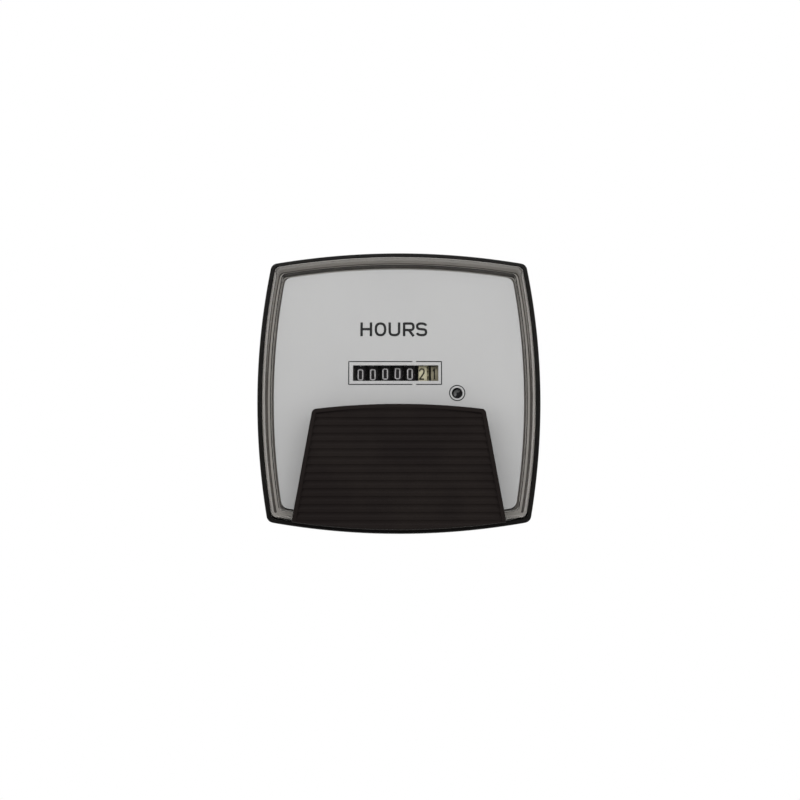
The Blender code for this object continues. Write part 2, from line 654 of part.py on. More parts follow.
def hexagon_nut(name, x, z, seat, corner_radius, thickness, bore, flange_radius=0.0, flange=0.0):
    """A nut that sits against a face and reaches back from there, on a flange if it has one."""
    nut = piece(name, prism(ring(corner_radius, 6), -flange - thickness, -flange), brass(),
                front_point(x, z, seat - GAP))
    if flange:
        collar = bmesh.new()
        add_rod(collar, 0, 0, flange_radius, -flange - SINK, 0)
        join(nut, collar)
        nut.data.materials[0] = steel()
    hole = bmesh.new()
    add_rod(hole, 0, 0, bore, -2 * (flange + thickness), thickness, SMALL_ROUND)
    cut(nut, hole)


def dial_screws():
    for name, side in (("dial_screw_left", -1), ("dial_screw_right", 1)):
        slotted_screw(name, side * DIAL_POST_X, -DIAL_POST_Z, DIAL_FRONT,
                      DIAL_HEAD_RADIUS, DIAL_HEAD, DIAL_SCREW_RADIUS, DIAL_SCREW_LENGTH)


def mounting_hardware():
    """Four studs with their heads inside the tray, and a flanged nut on each, clear of the panel."""
    corners = (("upper_left", -1, 1), ("upper_right", 1, 1), ("lower_left", -1, -1), ("lower_right", 1, -1))
    for where, side, end in corners:
        x, z = side * STUD_X, end * STUD_Z
        foot = -STUD_LENGTH - COVER_FOOT
        piece(f"mounting_stud_{where}",
              turned([(0, foot), (STUD_RADIUS - GAP, foot), (STUD_RADIUS, foot + GAP), (STUD_RADIUS, 0),
                      (STUD_HEAD_RADIUS, 0), (STUD_HEAD_RADIUS, STUD_HEAD), (0, STUD_HEAD)], SMALL_ROUND),
              steel(), front_point(x, z, COVER_FOOT))
        hexagon_nut(f"mounting_nut_{where}", x, z, -PANEL_THICKNESS, STUD_NUT_RADIUS, STUD_NUT,
                    STUD_RADIUS + GAP, STUD_FLANGE_RADIUS, STUD_FLANGE)


# Number train

def wheel_x(index):
    return COUNTER_X + (index - (len(WHEELS) - 1) / 2) * WHEEL_PITCH


def number_wheels():
    """Seven wheels side by side, all but the last with a toothed ring on the right side."""
    half = WHEEL_WIDTH / 2
    hub = half + WHEEL_PITCH - WHEEL_WIDTH - GAP
    bore = WHEEL_SHAFT_RADIUS + GAP
    for index, name in enumerate(WHEELS):
        finish = cream_plastic() if index >= len(WHEELS) - CREAM_WHEELS else black_plastic()
        wheel = piece(name, turned([(0, -half), (WHEEL_DIAMETER / 2, -half), (WHEEL_DIAMETER / 2, half),
                                    (WHEEL_HUB_RADIUS, half), (WHEEL_HUB_RADIUS, hub), (0, hub)],
                                   ROUND),
                      finish, front_point(wheel_x(index), COUNTER_Z, WHEEL_H), ALONG_X)
        if index < len(WHEELS) - 1:
            join(wheel, prism(gear_outline(RING_TEETH, TRANSFER_MODULE), half - SINK, half + RING_WIDTH))
        hole = bmesh.new()
        add_rod(hole, 0, 0, bore, -WHEEL_PITCH, WHEEL_PITCH, SMALL_ROUND)
        cut(wheel, hole)


def transfer_pinions():
    """One star pinion behind each gap between two wheels, in mesh with the ring of the left one."""
    gap = WHEEL_PITCH - WHEEL_WIDTH
    outline = gear_outline(PINION_TEETH, TRANSFER_MODULE, pi / PINION_TEETH)
    for index in range(len(WHEELS) - 1):
        middle = wheel_x(index) + WHEEL_WIDTH / 2 + gap / 2
        pinion = piece(f"transfer_pinion_{index + 1}",
                       prism(outline, GAP - gap / 2, gap / 2 - GAP), white_plastic(),
                       front_point(middle, COUNTER_Z, PINION_H), ALONG_X)
        hole = bmesh.new()
        add_rod(hole, 0, 0, PINION_SHAFT_RADIUS + GAP, -gap, gap, SMALL_ROUND)
        cut(pinion, hole)


def shafts():
    """The fixed shafts of the wheels and of the pinions, through both ears of the frame."""
    for name, height, radius in (("wheel_shaft", WHEEL_H, WHEEL_SHAFT_RADIUS),
                                 ("pinion_shaft", PINION_H, PINION_SHAFT_RADIUS)):
        body = bmesh.new()
        add_rod(body, 0, 0, radius, EAR_LEFT - GAP, EAR_RIGHT + EAR_THICKNESS + GAP, SMALL_ROUND)
        piece(name, body, steel(), front_point(0, COUNTER_Z, height), ALONG_X)


def drive_gear():
    """Gear over the worm, on a long hub that keys into the hundredths wheel."""
    hub_left = wheel_x(len(WHEELS) - 1) + WHEEL_PITCH - WHEEL_WIDTH / 2
    gear = piece("drive_gear",
                 prism(gear_outline(DRIVE_TEETH, DRIVE_MODULE, pi / DRIVE_TEETH),
                       -DRIVE_WIDTH / 2, DRIVE_WIDTH / 2),
                 white_plastic(), front_point(RUN_X, COUNTER_Z, WHEEL_H), ALONG_X)
    hub = bmesh.new()
    add_rod(hub, 0, 0, DRIVE_HUB_RADIUS, hub_left - RUN_X, EAR_RIGHT - END_PLAY - RUN_X, SMALL_ROUND)
    join(gear, hub)
    hole = bmesh.new()
    add_rod(hole, 0, 0, WHEEL_SHAFT_RADIUS + GAP, hub_left - RUN_X - GAP, EAR_RIGHT - RUN_X, SMALL_ROUND)
    cut(gear, hole)


# Worm arbor, running mark and rotor

def worm_outline(height, share):
    """One section of the worm: its thread's crest climbs one lead in each turn from the top."""
    tip = WORM_PITCH_RADIUS + ADDENDUM * DRIVE_MODULE
    root = WORM_PITCH_RADIUS - DEDENDUM * DRIVE_MODULE
    points = []
    for step in range(SMALL_ROUND):
        angle = tau * step / SMALL_ROUND
        crest = (0.5 + 0.5 * cos(tau * height / WORM_LEAD - angle)) ** WORM_SHARPNESS
        radius = root + (tip - root) * crest * share
        points.append((-radius * sin(angle), radius * cos(angle)))
    return points


def worm_arbor():
    """Turned arbor with the worm under the drive gear, from the frame to the running disc."""
    length = WORM_TURNS * WORM_LEAD
    steps = WORM_TURNS * WORM_RINGS
    shaft = ring(ARBOR_RADIUS, SMALL_ROUND, pi / 2)
    rings = [(shaft, PLATE_BACK - WHEEL_H), (shaft, -length / 2 - END_PLAY)]
    for step in range(steps + 1):
        height = -length / 2 + length * step / steps
        # the thread runs out over the last half turn at both ends
        share = min(1, 2 * min(step, steps - step) / WORM_RINGS)
        rings.append((worm_outline(height, share), height))
    rings += [(shaft, length / 2 + END_PLAY), (shaft, DISC_FRONT - GAP - WHEEL_H)]
    piece("worm_arbor", lofted(rings), steel(), front_point(RUN_X, RUN_Z, WHEEL_H))


def arbor_gear():
    gear = piece("arbor_gear",
                 prism(gear_outline(ARBOR_TEETH, SPUR_MODULE, ROTOR_BEARING),
                       ARBOR_GEAR_BACK, ARBOR_GEAR_FRONT),
                 white_plastic(), front_point(RUN_X, RUN_Z))
    hole = bmesh.new()
    add_rod(hole, 0, 0, ARBOR_RADIUS + GAP, 2 * ARBOR_GEAR_BACK, 0, SMALL_ROUND)
    cut(gear, hole)


def running_disc():
    """Disc behind the dial's round hole, whose half-moon mark shows that the meter runs."""
    hole = ARBOR_RADIUS + GAP
    piece("running_disc", turned([(hole, DISC_BACK), (RUN_DISC_RADIUS, DISC_BACK),
                                  (RUN_DISC_RADIUS, DISC_FRONT), (hole, DISC_FRONT)]),
          black_plastic(), front_point(RUN_X, RUN_Z))


def rotor():
    """Magnet on its pivots, with the pinion that drives the arbor."""
    body = turned([(0, PLATE_BACK), (PIVOT_RADIUS, PLATE_BACK), (PIVOT_RADIUS, MAGNET_BACK),
                   (MAGNET_RADIUS, MAGNET_BACK), (MAGNET_RADIUS, MAGNET_FRONT), (PIVOT_RADIUS, MAGNET_FRONT),
                   (PIVOT_RADIUS, BRIDGE_FRONT), (0, BRIDGE_FRONT)], SMALL_ROUND)
    made = piece("rotor", body, magnet_grey(), front_point(ROTOR_X, ROTOR_Z))
    space = ROTOR_BEARING + pi + pi / ROTOR_TEETH
    join(made, prism(gear_outline(ROTOR_TEETH, SPUR_MODULE, space),
                     ARBOR_GEAR_BACK - GAP / 2, ARBOR_GEAR_FRONT + GAP / 2))


# Movement frame, bridge and motor

def movement_frame():
    """Pressed plate with two ears that carry the shafts, on the posts of the base."""
    frame = piece("movement_frame",
                  prism(rounded_box(PLATE_LEFT, PLATE_RIGHT, PLATE_BOTTOM, PLATE_UP, PLATE_CORNER),
                        PLATE_BACK, PLATE_FRONT), steel())
    low = COUNTER_Z - EAR_HALF_HEIGHT
    high = COUNTER_Z + EAR_HALF_HEIGHT
    front = WHEEL_H + EAR_PAST_SHAFT
    ears = bmesh.new()
    for left in (EAR_LEFT, EAR_RIGHT):
        add_block(ears, (left, low, PLATE_FRONT - SINK), (left + EAR_THICKNESS, high, front))
    for _, x in MOTOR_SCREWS:
        add_rod(ears, x, CORE_Z, SCREW_HEAD_RADIUS, PLATE_FRONT - SINK, STATOR_BACK - GAP, SMALL_ROUND)
    join(frame, ears)
    holes = bmesh.new()
    places = [(RUN_X, RUN_Z, ARBOR_RADIUS), (ROTOR_X, ROTOR_Z, PIVOT_RADIUS)]
    places += [(x, CORE_Z, MOTOR_SCREW_RADIUS) for _, x in MOTOR_SCREWS]
    places += [(x, z, MOVEMENT_SCREW_RADIUS) for _, x, z in MOVEMENT_SCREWS]
    for x, z, radius in places:
        add_rod(holes, x, z, radius + GAP, PLATE_BACK - FLOOR, STATOR_BACK, SMALL_ROUND)
    cut(frame, holes)
    bearings = bmesh.new()
    for height, radius in ((WHEEL_H, WHEEL_SHAFT_RADIUS), (PINION_H, PINION_SHAFT_RADIUS)):
        add_rod(bearings, -height, COUNTER_Z, radius + GAP, EAR_LEFT - FLOOR,
                EAR_RIGHT + EAR_THICKNESS + FLOOR, SMALL_ROUND)
    # these run along x, so they are turned from the drawing's height to its x axis
    bmesh.ops.rotate(bearings, verts=bearings.verts, cent=(0, 0, 0), matrix=Matrix.Rotation(pi / 2, 3, "Y"))
    cut(frame, bearings)


def movement_screws():
    for name, x, z in MOVEMENT_SCREWS:
        slotted_screw(name, x, z, PLATE_FRONT, SCREW_HEAD_RADIUS, SCREW_HEAD,
                      MOVEMENT_SCREW_RADIUS, MOVEMENT_SCREW_LENGTH)


def front_bridge():
    """Small plate behind the dial that carries the front ends of the arbor and the rotor."""
    right, left = PILLARS[0], PILLARS[1]
    bottom = min(right[2], left[2]) - BRIDGE_MARGIN
    top = RUN_Z - ARBOR_RADIUS - GAP
    bridge = piece("front_bridge",
                   prism(rounded_box(left[1] - BRIDGE_MARGIN, right[1] + BRIDGE_MARGIN, bottom, top,
                                     PILLAR_RADIUS), BRIDGE_BACK, BRIDGE_FRONT), brass())
    boss = bmesh.new()
    add_rod(boss, RUN_X, RUN_Z, BRIDGE_BOSS_RADIUS, BRIDGE_BACK, BRIDGE_FRONT)
    join(bridge, boss)
    holes = bmesh.new()
    for x, z, radius in ((RUN_X, RUN_Z, ARBOR_RADIUS), (ROTOR_X, ROTOR_Z, PIVOT_RADIUS)):
        add_rod(holes, x, z, radius + GAP, BRIDGE_BACK - FLOOR, BRIDGE_FRONT + FLOOR, SMALL_ROUND)
    cut(bridge, holes)
    for name, x, z in PILLARS:
        pillar = bmesh.new()
        add_rod(pillar, 0, 0, PILLAR_RADIUS, PLATE_FRONT + GAP, BRIDGE_BACK - GAP, SMALL_ROUND)
        piece(name, pillar, brass(), front_point(x, z))


def stator_plate():
    """C-shaped iron with the magnet's hole in its bar and two legs down to the coil's core."""
    top, bar = ROTOR_Z + STATOR_HALF, ROTOR_Z - STATOR_HALF
    foot = CORE_Z - CORE_WIDTH / 2 - GAP
    outline = [(STATOR_LEFT, foot), (STATOR_LEFT + STATOR_LEG, foot), (STATOR_LEFT + STATOR_LEG, bar),
               (STATOR_RIGHT - STATOR_LEG, bar), (STATOR_RIGHT - STATOR_LEG, foot), (STATOR_RIGHT, foot),
               (STATOR_RIGHT, top), (STATOR_LEFT, top)]
    stator = piece("stator_plate", prism(outline, STATOR_BACK, STATOR_FRONT), steel())
    holes = bmesh.new()
    low, high = STATOR_BACK - FLOOR, STATOR_FRONT + FLOOR
    add_rod(holes, ROTOR_X, ROTOR_Z, MAGNET_RADIUS + MAGNET_GAP, low, high)
    _, x, z = PILLARS[1]
    add_rod(holes, x, z, PILLAR_RADIUS + GAP, low, high, SMALL_ROUND)
    for _, x in MOTOR_SCREWS:
        add_rod(holes, x, CORE_Z, MOTOR_SCREW_RADIUS + GAP, low, high, SMALL_ROUND)
    cut(stator, holes)


def coil():
    """Iron core over the legs of the stator, with the bobbin and its winding."""
    bar = bmesh.new()
    add_block(bar, (STATOR_LEFT, CORE_Z - CORE_WIDTH / 2, CORE_BACK),
              (STATOR_RIGHT, CORE_Z + CORE_WIDTH / 2, CORE_FRONT))
    core = piece("coil_core", bar, steel())
    holes = bmesh.new()
    for _, x in MOTOR_SCREWS:
        add_rod(holes, x, CORE_Z, MOTOR_SCREW_RADIUS + GAP,
                CORE_BACK - FLOOR, CORE_FRONT + FLOOR, SMALL_ROUND)
    cut(core, holes)
    half = (BOBBIN_RIGHT - BOBBIN_LEFT) / 2
    inner = half - BOBBIN_FLANGE
    tube = BOBBIN_HOLE + BOBBIN_WALL
    place = front_point((BOBBIN_LEFT + BOBBIN_RIGHT) / 2, CORE_Z, CORE_H)
    piece("coil_bobbin", turned([(BOBBIN_HOLE, -half), (BOBBIN_RADIUS, -half), (BOBBIN_RADIUS, -inner),
                                 (tube, -inner), (tube, inner), (BOBBIN_RADIUS, inner), (BOBBIN_RADIUS, half),
                                 (BOBBIN_HOLE, half)]), white_plastic(), place, ALONG_X)
    piece("coil_winding", turned([(tube + GAP, GAP - inner), (WINDING_RADIUS, GAP - inner),
                                  (WINDING_RADIUS, inner - GAP), (tube + GAP, inner - GAP)]),
          copper_wire(), place, ALONG_X)
    for name, x in MOTOR_SCREWS:
        slotted_screw(name, x, CORE_Z, CORE_FRONT, SCREW_HEAD_RADIUS, SCREW_HEAD,
                      MOTOR_SCREW_RADIUS, CORE_FRONT - PLATE_BACK)


# Electronics and terminals

def circuit_board():
    """Board on the terminal bosses, with the crystal, the chip and the capacitor on its front."""
    body = bmesh.new()
    add_block(body, (-BOARD_WIDTH / 2, BOARD_BOTTOM, BOARD_BACK), (BOARD_WIDTH / 2, BOARD_TOP, BOARD_FRONT))
    board = piece("circuit_board", body, board_green())
    holes = bmesh.new()
    for side in (-1, 1):
        add_rod(holes, side * TERMINAL_X, TERMINAL_Z, TERMINAL_RADIUS + GAP,
                BOARD_BACK - FLOOR, BOARD_FRONT + FLOOR, SMALL_ROUND)
    cut(board, holes)
    seat = BOARD_FRONT + GAP
    body = bmesh.new()
    add_rod(body, 0, CAPACITOR_Z, CAPACITOR_RADIUS, seat, seat + CAPACITOR_LENGTH)
    piece("capacitor", body, black_plastic())
    body = bmesh.new()
    width, height, depth = CHIP_SIZE
    chip_z = CAPACITOR_Z + CAPACITOR_RADIUS + height / 2 + BOARD_THICKNESS
    add_block(body, (-width / 2, chip_z - height / 2, seat), (width / 2, chip_z + height / 2, seat + depth))
    piece("control_chip", body, black_plastic())
    body = bmesh.new()
    add_rod(body, 0, 0, CRYSTAL_RADIUS, -CRYSTAL_LENGTH / 2, CRYSTAL_LENGTH / 2, SMALL_ROUND)
    crystal_z = TERMINAL_Z - TERMINAL_HEAD_RADIUS - 2 * CRYSTAL_RADIUS
    piece("quartz_crystal", body, steel(),
          front_point(-TERMINAL_X, crystal_z, seat + CRYSTAL_RADIUS), ALONG_X)


def terminals():
    """Two threaded studs through the board and the back of the barrel, each with a washer and a nut."""
    for where, side in (("left", -1), ("right", 1)):
        x = side * TERMINAL_X
        seat = BOARD_FRONT + GAP
        end = -BARREL_DEPTH - TERMINAL_REACH - seat
        piece(f"terminal_stud_{where}",
              turned([(0, end), (TERMINAL_RADIUS - GAP, end), (TERMINAL_RADIUS, end + GAP),
                      (TERMINAL_RADIUS, 0), (TERMINAL_HEAD_RADIUS, 0), (TERMINAL_HEAD_RADIUS, TERMINAL_HEAD),
                      (0, TERMINAL_HEAD)], SMALL_ROUND), brass(), front_point(x, TERMINAL_Z, seat))
        bore = TERMINAL_RADIUS + GAP
        piece(f"terminal_washer_{where}",
              turned([(bore, -WASHER_THICKNESS), (WASHER_RADIUS, -WASHER_THICKNESS),
                      (WASHER_RADIUS, 0), (bore, 0)]),
              steel(), front_point(x, TERMINAL_Z, -BARREL_DEPTH - GAP))
        hexagon_nut(f"terminal_nut_{where}", x, TERMINAL_Z, -BARREL_DEPTH - GAP - WASHER_THICKNESS,
                    TERMINAL_NUT_RADIUS, TERMINAL_NUT, bore)


def smooth_route(points):
    """Points along a smooth curve through a list of points."""
    vectors = [Vector(point) for point in points]
    ends = [2 * vectors[0] - vectors[1], *vectors, 2 * vectors[-1] - vectors[-2]]
    route = []
    for a, b, c, d in zip(ends, ends[1:], ends[2:], ends[3:]):
        for step in range(LEAD_STEPS):
            t = step / LEAD_STEPS
            route.append(0.5 * (2 * b + (c - a) * t + (2 * a - 5 * b + 4 * c - d) * t ** 2
                                + (3 * b - a - 3 * c + d) * t ** 3))
    return [*route, vectors[-1]]


def coil_leads():
    """Two insulated wires from the bobbin, under the frame's lower edge, to the board."""
    start_z = CORE_Z - WINDING_RADIUS - GAP
    under = PLATE_BOTTOM - 4 * LEAD_RADIUS
    end_z = BOARD_BOTTOM + 4 * LEAD_RADIUS
    seat = BOARD_FRONT + GAP
    middle = (BOBBIN_LEFT + BOBBIN_RIGHT) / 2
    for name, x in (("coil_lead_left", middle - BOBBIN_RADIUS), ("coil_lead_right", middle + BOBBIN_RADIUS)):
        heights = (CORE_H, CORE_H - 2 * LEAD_RADIUS, PLATE_FRONT, PLATE_BACK - 4 * LEAD_RADIUS,
                   (PLATE_BACK + seat) / 2, seat + 8 * LEAD_RADIUS, seat)
        levels = (start_z, start_z - 2 * LEAD_RADIUS, under, under, (under + end_z) / 2, end_z, end_z)
        curve = bpy.data.curves.new(name, "CURVE")
        curve.dimensions = "3D"
        curve.bevel_depth = LEAD_RADIUS
        curve.bevel_resolution = LEAD_ROUND_STEPS
        curve.use_fill_caps = True
        points = smooth_route([(x, z, height) for z, height in zip(levels, heights)])
        spline = curve.splines.new("POLY")
        spline.points.add(len(points) - 1)
        for target, point in zip(spline.points, points):
            target.co = (*point, 1)
        curve.materials.append(red_insulation())
        lead = bpy.data.objects.new(name, curve)
        lead.rotation_euler = FRONT
        bpy.context.scene.collection.objects.link(lead)


def main():
    for old in list(bpy.data.objects):
        bpy.data.objects.remove(old, do_unlink=True)
    base_housing()
    clear_cover()
    lower_cover()
    dial_plate()
    dial_screws()
    number_wheels()
    transfer_pinions()
    shafts()
    drive_gear()
    worm_arbor()
    arbor_gear()
    running_disc()
    rotor()
    movement_frame()
    movement_screws()
    front_bridge()
    stator_plate()
    coil()
    circuit_board()
    terminals()
    coil_leads()
    mounting_hardware()


main()
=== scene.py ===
# %% [markdown]
# # A panel hour meter
# A square black case with bowed sides carries a clear cover. Behind it are a grey dial with a
# number counter and a small running mark, and a ribbed black cover lies over the lower half. The packed
# model gives the place of every piece. This script dresses it: some pieces get a finer mesh, and every
# surface gets a finish that is worked out by nodes.

import json
from math import atan2, cos, hypot, pi, radians, sin, sqrt, tau

import bmesh
import bpy
from mathutils import Matrix, Vector


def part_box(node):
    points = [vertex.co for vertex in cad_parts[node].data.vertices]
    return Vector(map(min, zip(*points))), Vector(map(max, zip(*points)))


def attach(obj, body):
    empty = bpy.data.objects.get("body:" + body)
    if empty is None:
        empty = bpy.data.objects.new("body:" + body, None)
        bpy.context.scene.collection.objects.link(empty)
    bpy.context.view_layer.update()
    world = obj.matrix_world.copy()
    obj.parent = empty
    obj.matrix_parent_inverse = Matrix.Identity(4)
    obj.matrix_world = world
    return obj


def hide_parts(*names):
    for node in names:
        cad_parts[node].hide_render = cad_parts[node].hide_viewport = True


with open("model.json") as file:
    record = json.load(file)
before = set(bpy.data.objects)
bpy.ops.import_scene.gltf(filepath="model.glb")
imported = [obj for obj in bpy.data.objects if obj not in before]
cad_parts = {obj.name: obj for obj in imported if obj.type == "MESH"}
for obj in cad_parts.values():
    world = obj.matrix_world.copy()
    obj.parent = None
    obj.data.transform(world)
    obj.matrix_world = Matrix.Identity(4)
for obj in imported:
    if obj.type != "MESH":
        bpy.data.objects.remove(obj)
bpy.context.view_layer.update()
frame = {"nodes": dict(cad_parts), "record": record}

# %% [markdown]
# ## Sizes
# A new piece has to lie where the CAD node lies, so the sizes are read from the nodes' boxes where a box
# gives them. The rest are the values that the CAD model was drawn with. A front drawing is x to the
# right, y up and h, the height over the panel, so its point (x, y, h) is (x, -h, y) in the scene.

# %% Sizes
MM = 0.001
GAP = 0.3 * MM
CASE_LOW, CASE_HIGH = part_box("base_housing")
CASE_HALF = CASE_HIGH.x
RIM_HEIGHT = -CASE_LOW.y
BARREL_BACK = -CASE_HIGH.y
SIDE_BOW = 217 * MM
TOP_BOW = 228 * MM
COVER_HEIGHT = -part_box("clear_cover")[0].y
COVER_FOOT = -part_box("clear_cover")[1].y
LOWER_FRONT = -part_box("lower_cover")[0].y
DIAL_FRONT = -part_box("dial_plate")[0].y
DIAL_BACK = -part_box("dial_plate")[1].y
FRONT = Matrix.Rotation(pi / 2, 4, "X")
ALONG_X = Matrix.Rotation(pi / 2, 4, "Y")
print(f"rim {RIM_HEIGHT / MM:.1f}, clear cover {COVER_FOOT / MM:.1f} to {COVER_HEIGHT / MM:.1f},"
      f" ribbed cover to {LOWER_FRONT / MM:.1f}, dial {DIAL_BACK / MM:.1f} to {DIAL_FRONT / MM:.1f} mm")

# %% [markdown]
# ## Camera
# The photograph looks at the meter from a little below: the lower rim shows thicker than the upper one,
# and the sides converge by three per cent. A camera 350 mm away and 8 degrees below the axis gives both.

# %% Camera
CAMERA_DISTANCE = 350 * MM
CAMERA_DROP = radians(8)
LENS, SENSOR = 49.56, 36  # both in mm
SHIFT_X, SHIFT_Y = 0.00136, -0.00696  # shares of the picture's width
camera_data = bpy.data.cameras.new("camera")
camera_data.lens, camera_data.sensor_width = LENS, SENSOR
camera_data.shift_x, camera_data.shift_y = SHIFT_X, SHIFT_Y
camera = bpy.data.objects.new("camera", camera_data)
camera.location = (0, -CAMERA_DISTANCE * cos(CAMERA_DROP), -CAMERA_DISTANCE * sin(CAMERA_DROP))
camera.rotation_euler = (pi / 2 + CAMERA_DROP, 0, 0)
bpy.context.scene.collection.objects.link(camera)
bpy.context.scene.camera = camera
bpy.context.scene.view_settings.view_transform = "Standard"
print("camera at", [round(value, 4) for value in camera.location])

# %% [markdown]
# ## Shader maths
# A finish is easier to read as an expression than as a list of nodes. A Field wraps one socket, and
# arithmetic on it adds Math nodes. The node method of a Tree makes any other node from its type, its
# settings and the values of its sockets. A Finish is the Tree of a material.


# %% Fields and finishes
class Field:
    """A value that changes over a surface."""

    def __init__(self, tree, socket):
        self.tree = tree
        self.socket = socket

    def math(self, operation, other, **settings):
        return self.tree.node("Math", {"operation": operation, **settings}, self, other)

    def __add__(self, other):
        return self.math("ADD", other)

    __radd__ = __add__

    def __mul__(self, other):
        return self.math("MULTIPLY", other)

    __rmul__ = __mul__

    def between(self, low, high, first=0.0, last=1.0):
        """The first value below low, the last above high, and a smooth rise between them."""
        return self.tree.node("MapRange", {"interpolation_type": "SMOOTHSTEP"}, self, low, high, first,
                              last)


class Tree:
    """The nodes of a material or of the world."""

    def __init__(self, graph):
        self.graph = graph

    def node(self, kind, settings=None, *values, output=0, **named):
        """Makes a node and gives its sockets their values in order, or by name. None skips a socket."""
        made = self.graph.nodes.new("ShaderNode" + kind)
        for name, value in (settings or {}).items():
            setattr(made, name, value)
        for key, value in [*enumerate(values), *named.items()]:
            if value is not None:
                self.connect(made.inputs[key.replace("_", " ") if isinstance(key, str) else key], value)
        return Field(self, made.outputs[output])

    def connect(self, socket, value):
        if isinstance(value, Field):
            self.graph.links.new(value.socket, socket)
        elif isinstance(value, tuple) and len(value) == 3 and socket.type == "RGBA":
            socket.default_value = (*value, 1.0)
        else:
            socket.default_value = value


class Finish(Tree):
    """A material. Keyword arguments are constants of its shader, named as its sockets are."""

    def __init__(self, name, **constants):
        self.material = bpy.data.materials.new(name)
        self.material.use_nodes = True
        super().__init__(self.material.node_tree)
        self.shader = self.graph.nodes["Principled BSDF"]
        for socket, value in constants.items():
            self.feed(socket.replace("_", " "), value)
        self.place = self.node("TexCoord", output="Object")

    def feed(self, socket, value):
        self.connect(self.shader.inputs[socket], value)

    def noise(self, size, detail=2.0, roughness=0.5, vector=None):
        """Clouds of about a size in metres, from 0 to 1."""
        return self.node("TexNoise", None, Vector=vector or self.place, Scale=1 / size, Detail=detail,
                         Roughness=roughness)

    def stretched(self, x=1.0, y=1.0, z=1.0):
        """Object coordinates, stretched so that a pattern runs long where the factor is small."""
        return self.node("Mapping", None, self.place, Scale=(x, y, z))

    def mix(self, share, first, second):
        """A colour between two colours, whose sockets come after those for numbers and vectors."""
        return self.node("Mix", {"data_type": "RGBA"}, share, *[None] * 5, first, second, output=2)

    def bump(self, height, depth, strength):
        self.feed("Normal", self.node("Bump", None, Strength=strength, Distance=depth, Height=height))


def srgb(red, green, blue):
    """A colour given as 0 to 255, as linear values."""
    return tuple((value / 255 / 12.92 if value < 10.3 else ((value / 255 + 0.055) / 1.055) ** 2.4)
                 for value in (red, green, blue))


# %% [markdown]
# ## Modelling helpers
# Most pieces of a meter are turned, sawn from a bar or moulded, and each way has a bmesh operator: spin
# for what is turned, bridged loops for what is moulded with leaning walls, and the Boolean modifier for
# holes and bosses. Each finished mesh holds its place, and its object stays at the origin.

# %% Modelling helpers
SHARP = radians(30)
WELD = 1e-6
SEAM = 1e-7  # joins the first and the last copy of a spun profile


def turned(profile, segments=64, closed=False):
    """Spins (radius, z) points about the z axis. A closed profile leaves a bore."""
    body = bmesh.new()
    points = [body.verts.new((radius, 0, z)) for radius, z in profile]
    edges = [body.edges.new(pair) for pair in zip(points, points[1:])]
    if closed:
        edges.append(body.edges.new((points[-1], points[0])))
    bmesh.ops.spin(body, geom=points + edges, axis=(0, 0, 1), cent=(0, 0, 0), angle=tau,
                   steps=segments, use_merge=True)
    bmesh.ops.remove_doubles(body, verts=body.verts, dist=SEAM)
    return body


def add_rod(body, x, y, radius, low, high, segments=48):
    bmesh.ops.create_cone(body, cap_ends=True, segments=segments, radius1=radius, radius2=radius,
                          depth=high - low, matrix=Matrix.Translation((x, y, (low + high) / 2)))


def add_block(body, low, high):
    middle = [(a + b) / 2 for a, b in zip(low, high)]
    size = [b - a for a, b in zip(low, high)]
    bmesh.ops.create_cube(body, size=1, matrix=Matrix.LocRotScale(middle, None, size))


def add_copy(target, source, matrix=Matrix.Identity(4)):
    """Adds a copy of one bmesh to another."""
    mesh = bpy.data.meshes.new("copy")
    source.to_mesh(mesh)
    mesh.transform(matrix)
    target.from_mesh(mesh)
    bpy.data.meshes.remove(mesh)


def plain_object(name, body, turn=FRONT, place=(0, 0, 0)):
    """An object whose mesh holds the drawing, turned and put in its place."""
    bmesh.ops.transform(body, matrix=Matrix.Translation(place) @ turn, verts=body.verts)
    bmesh.ops.recalc_face_normals(body, faces=body.faces)
    mesh = bpy.data.meshes.new(name)
    body.to_mesh(mesh)
    body.free()
    made = bpy.data.objects.new(name, mesh)
    bpy.context.scene.collection.objects.link(made)
    return made


def weld(mesh):
    """Merges what lies within a thousandth of a millimetre, so that the surface stays closed."""
    body = bmesh.new()
    body.from_mesh(mesh)
    bmesh.ops.remove_doubles(body, verts=body.verts, dist=WELD)
    body.to_mesh(mesh)
    body.free()


def combine(target, operation, body, turn=FRONT, place=(0, 0, 0)):
    """Joins, cuts or trims an object by a drawing, and keeps only the result."""
    tool = plain_object("tool", body, turn, place)
    change = target.modifiers.new("change", "BOOLEAN")
    change.operation = operation
    change.object = tool
    bpy.context.view_layer.update()
    result = bpy.data.meshes.new_from_object(target.evaluated_get(bpy.context.evaluated_depsgraph_get()))
    target.modifiers.clear()
    weld(result)
    old, target.data = target.data, result
    result.name = target.name
    bpy.data.meshes.remove(old)
    bpy.data.objects.remove(tool)


def taken(made):
    """Takes an object's mesh back as a bmesh and removes the object."""
    body = bmesh.new()
    body.from_mesh(made.data)
    bpy.data.objects.remove(made)
    return body


def dress(made, finish, body, slot, replaced=()):
    """Gives an object its finish, its body and the CAD nodes that it stands for."""
    made.data.materials.clear()
    made.data.materials.append(finish.material)
    made.data.shade_smooth()
    made.data.set_sharp_from_angle(angle=SHARP)
    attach(made, body)
    if replaced:
        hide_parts(*replaced)
    print(f"{made.name}: {len(made.data.polygons)} faces")


# %% [markdown]
# ## Floor and light
# The photograph is a cut-out on white. The camera sees a white world on every side, and so does a look
# straight through the clear cover. A reflection sees white where the backdrop is, behind the panel, and a
# dim room in front of it, as in a photographer's studio: this is what keeps black plastic black. All
# other light from the world is plain and soft. One large lamp stands above the meter and two at its
# sides. The floor lies out of the camera's view and catches the shadow in other views.

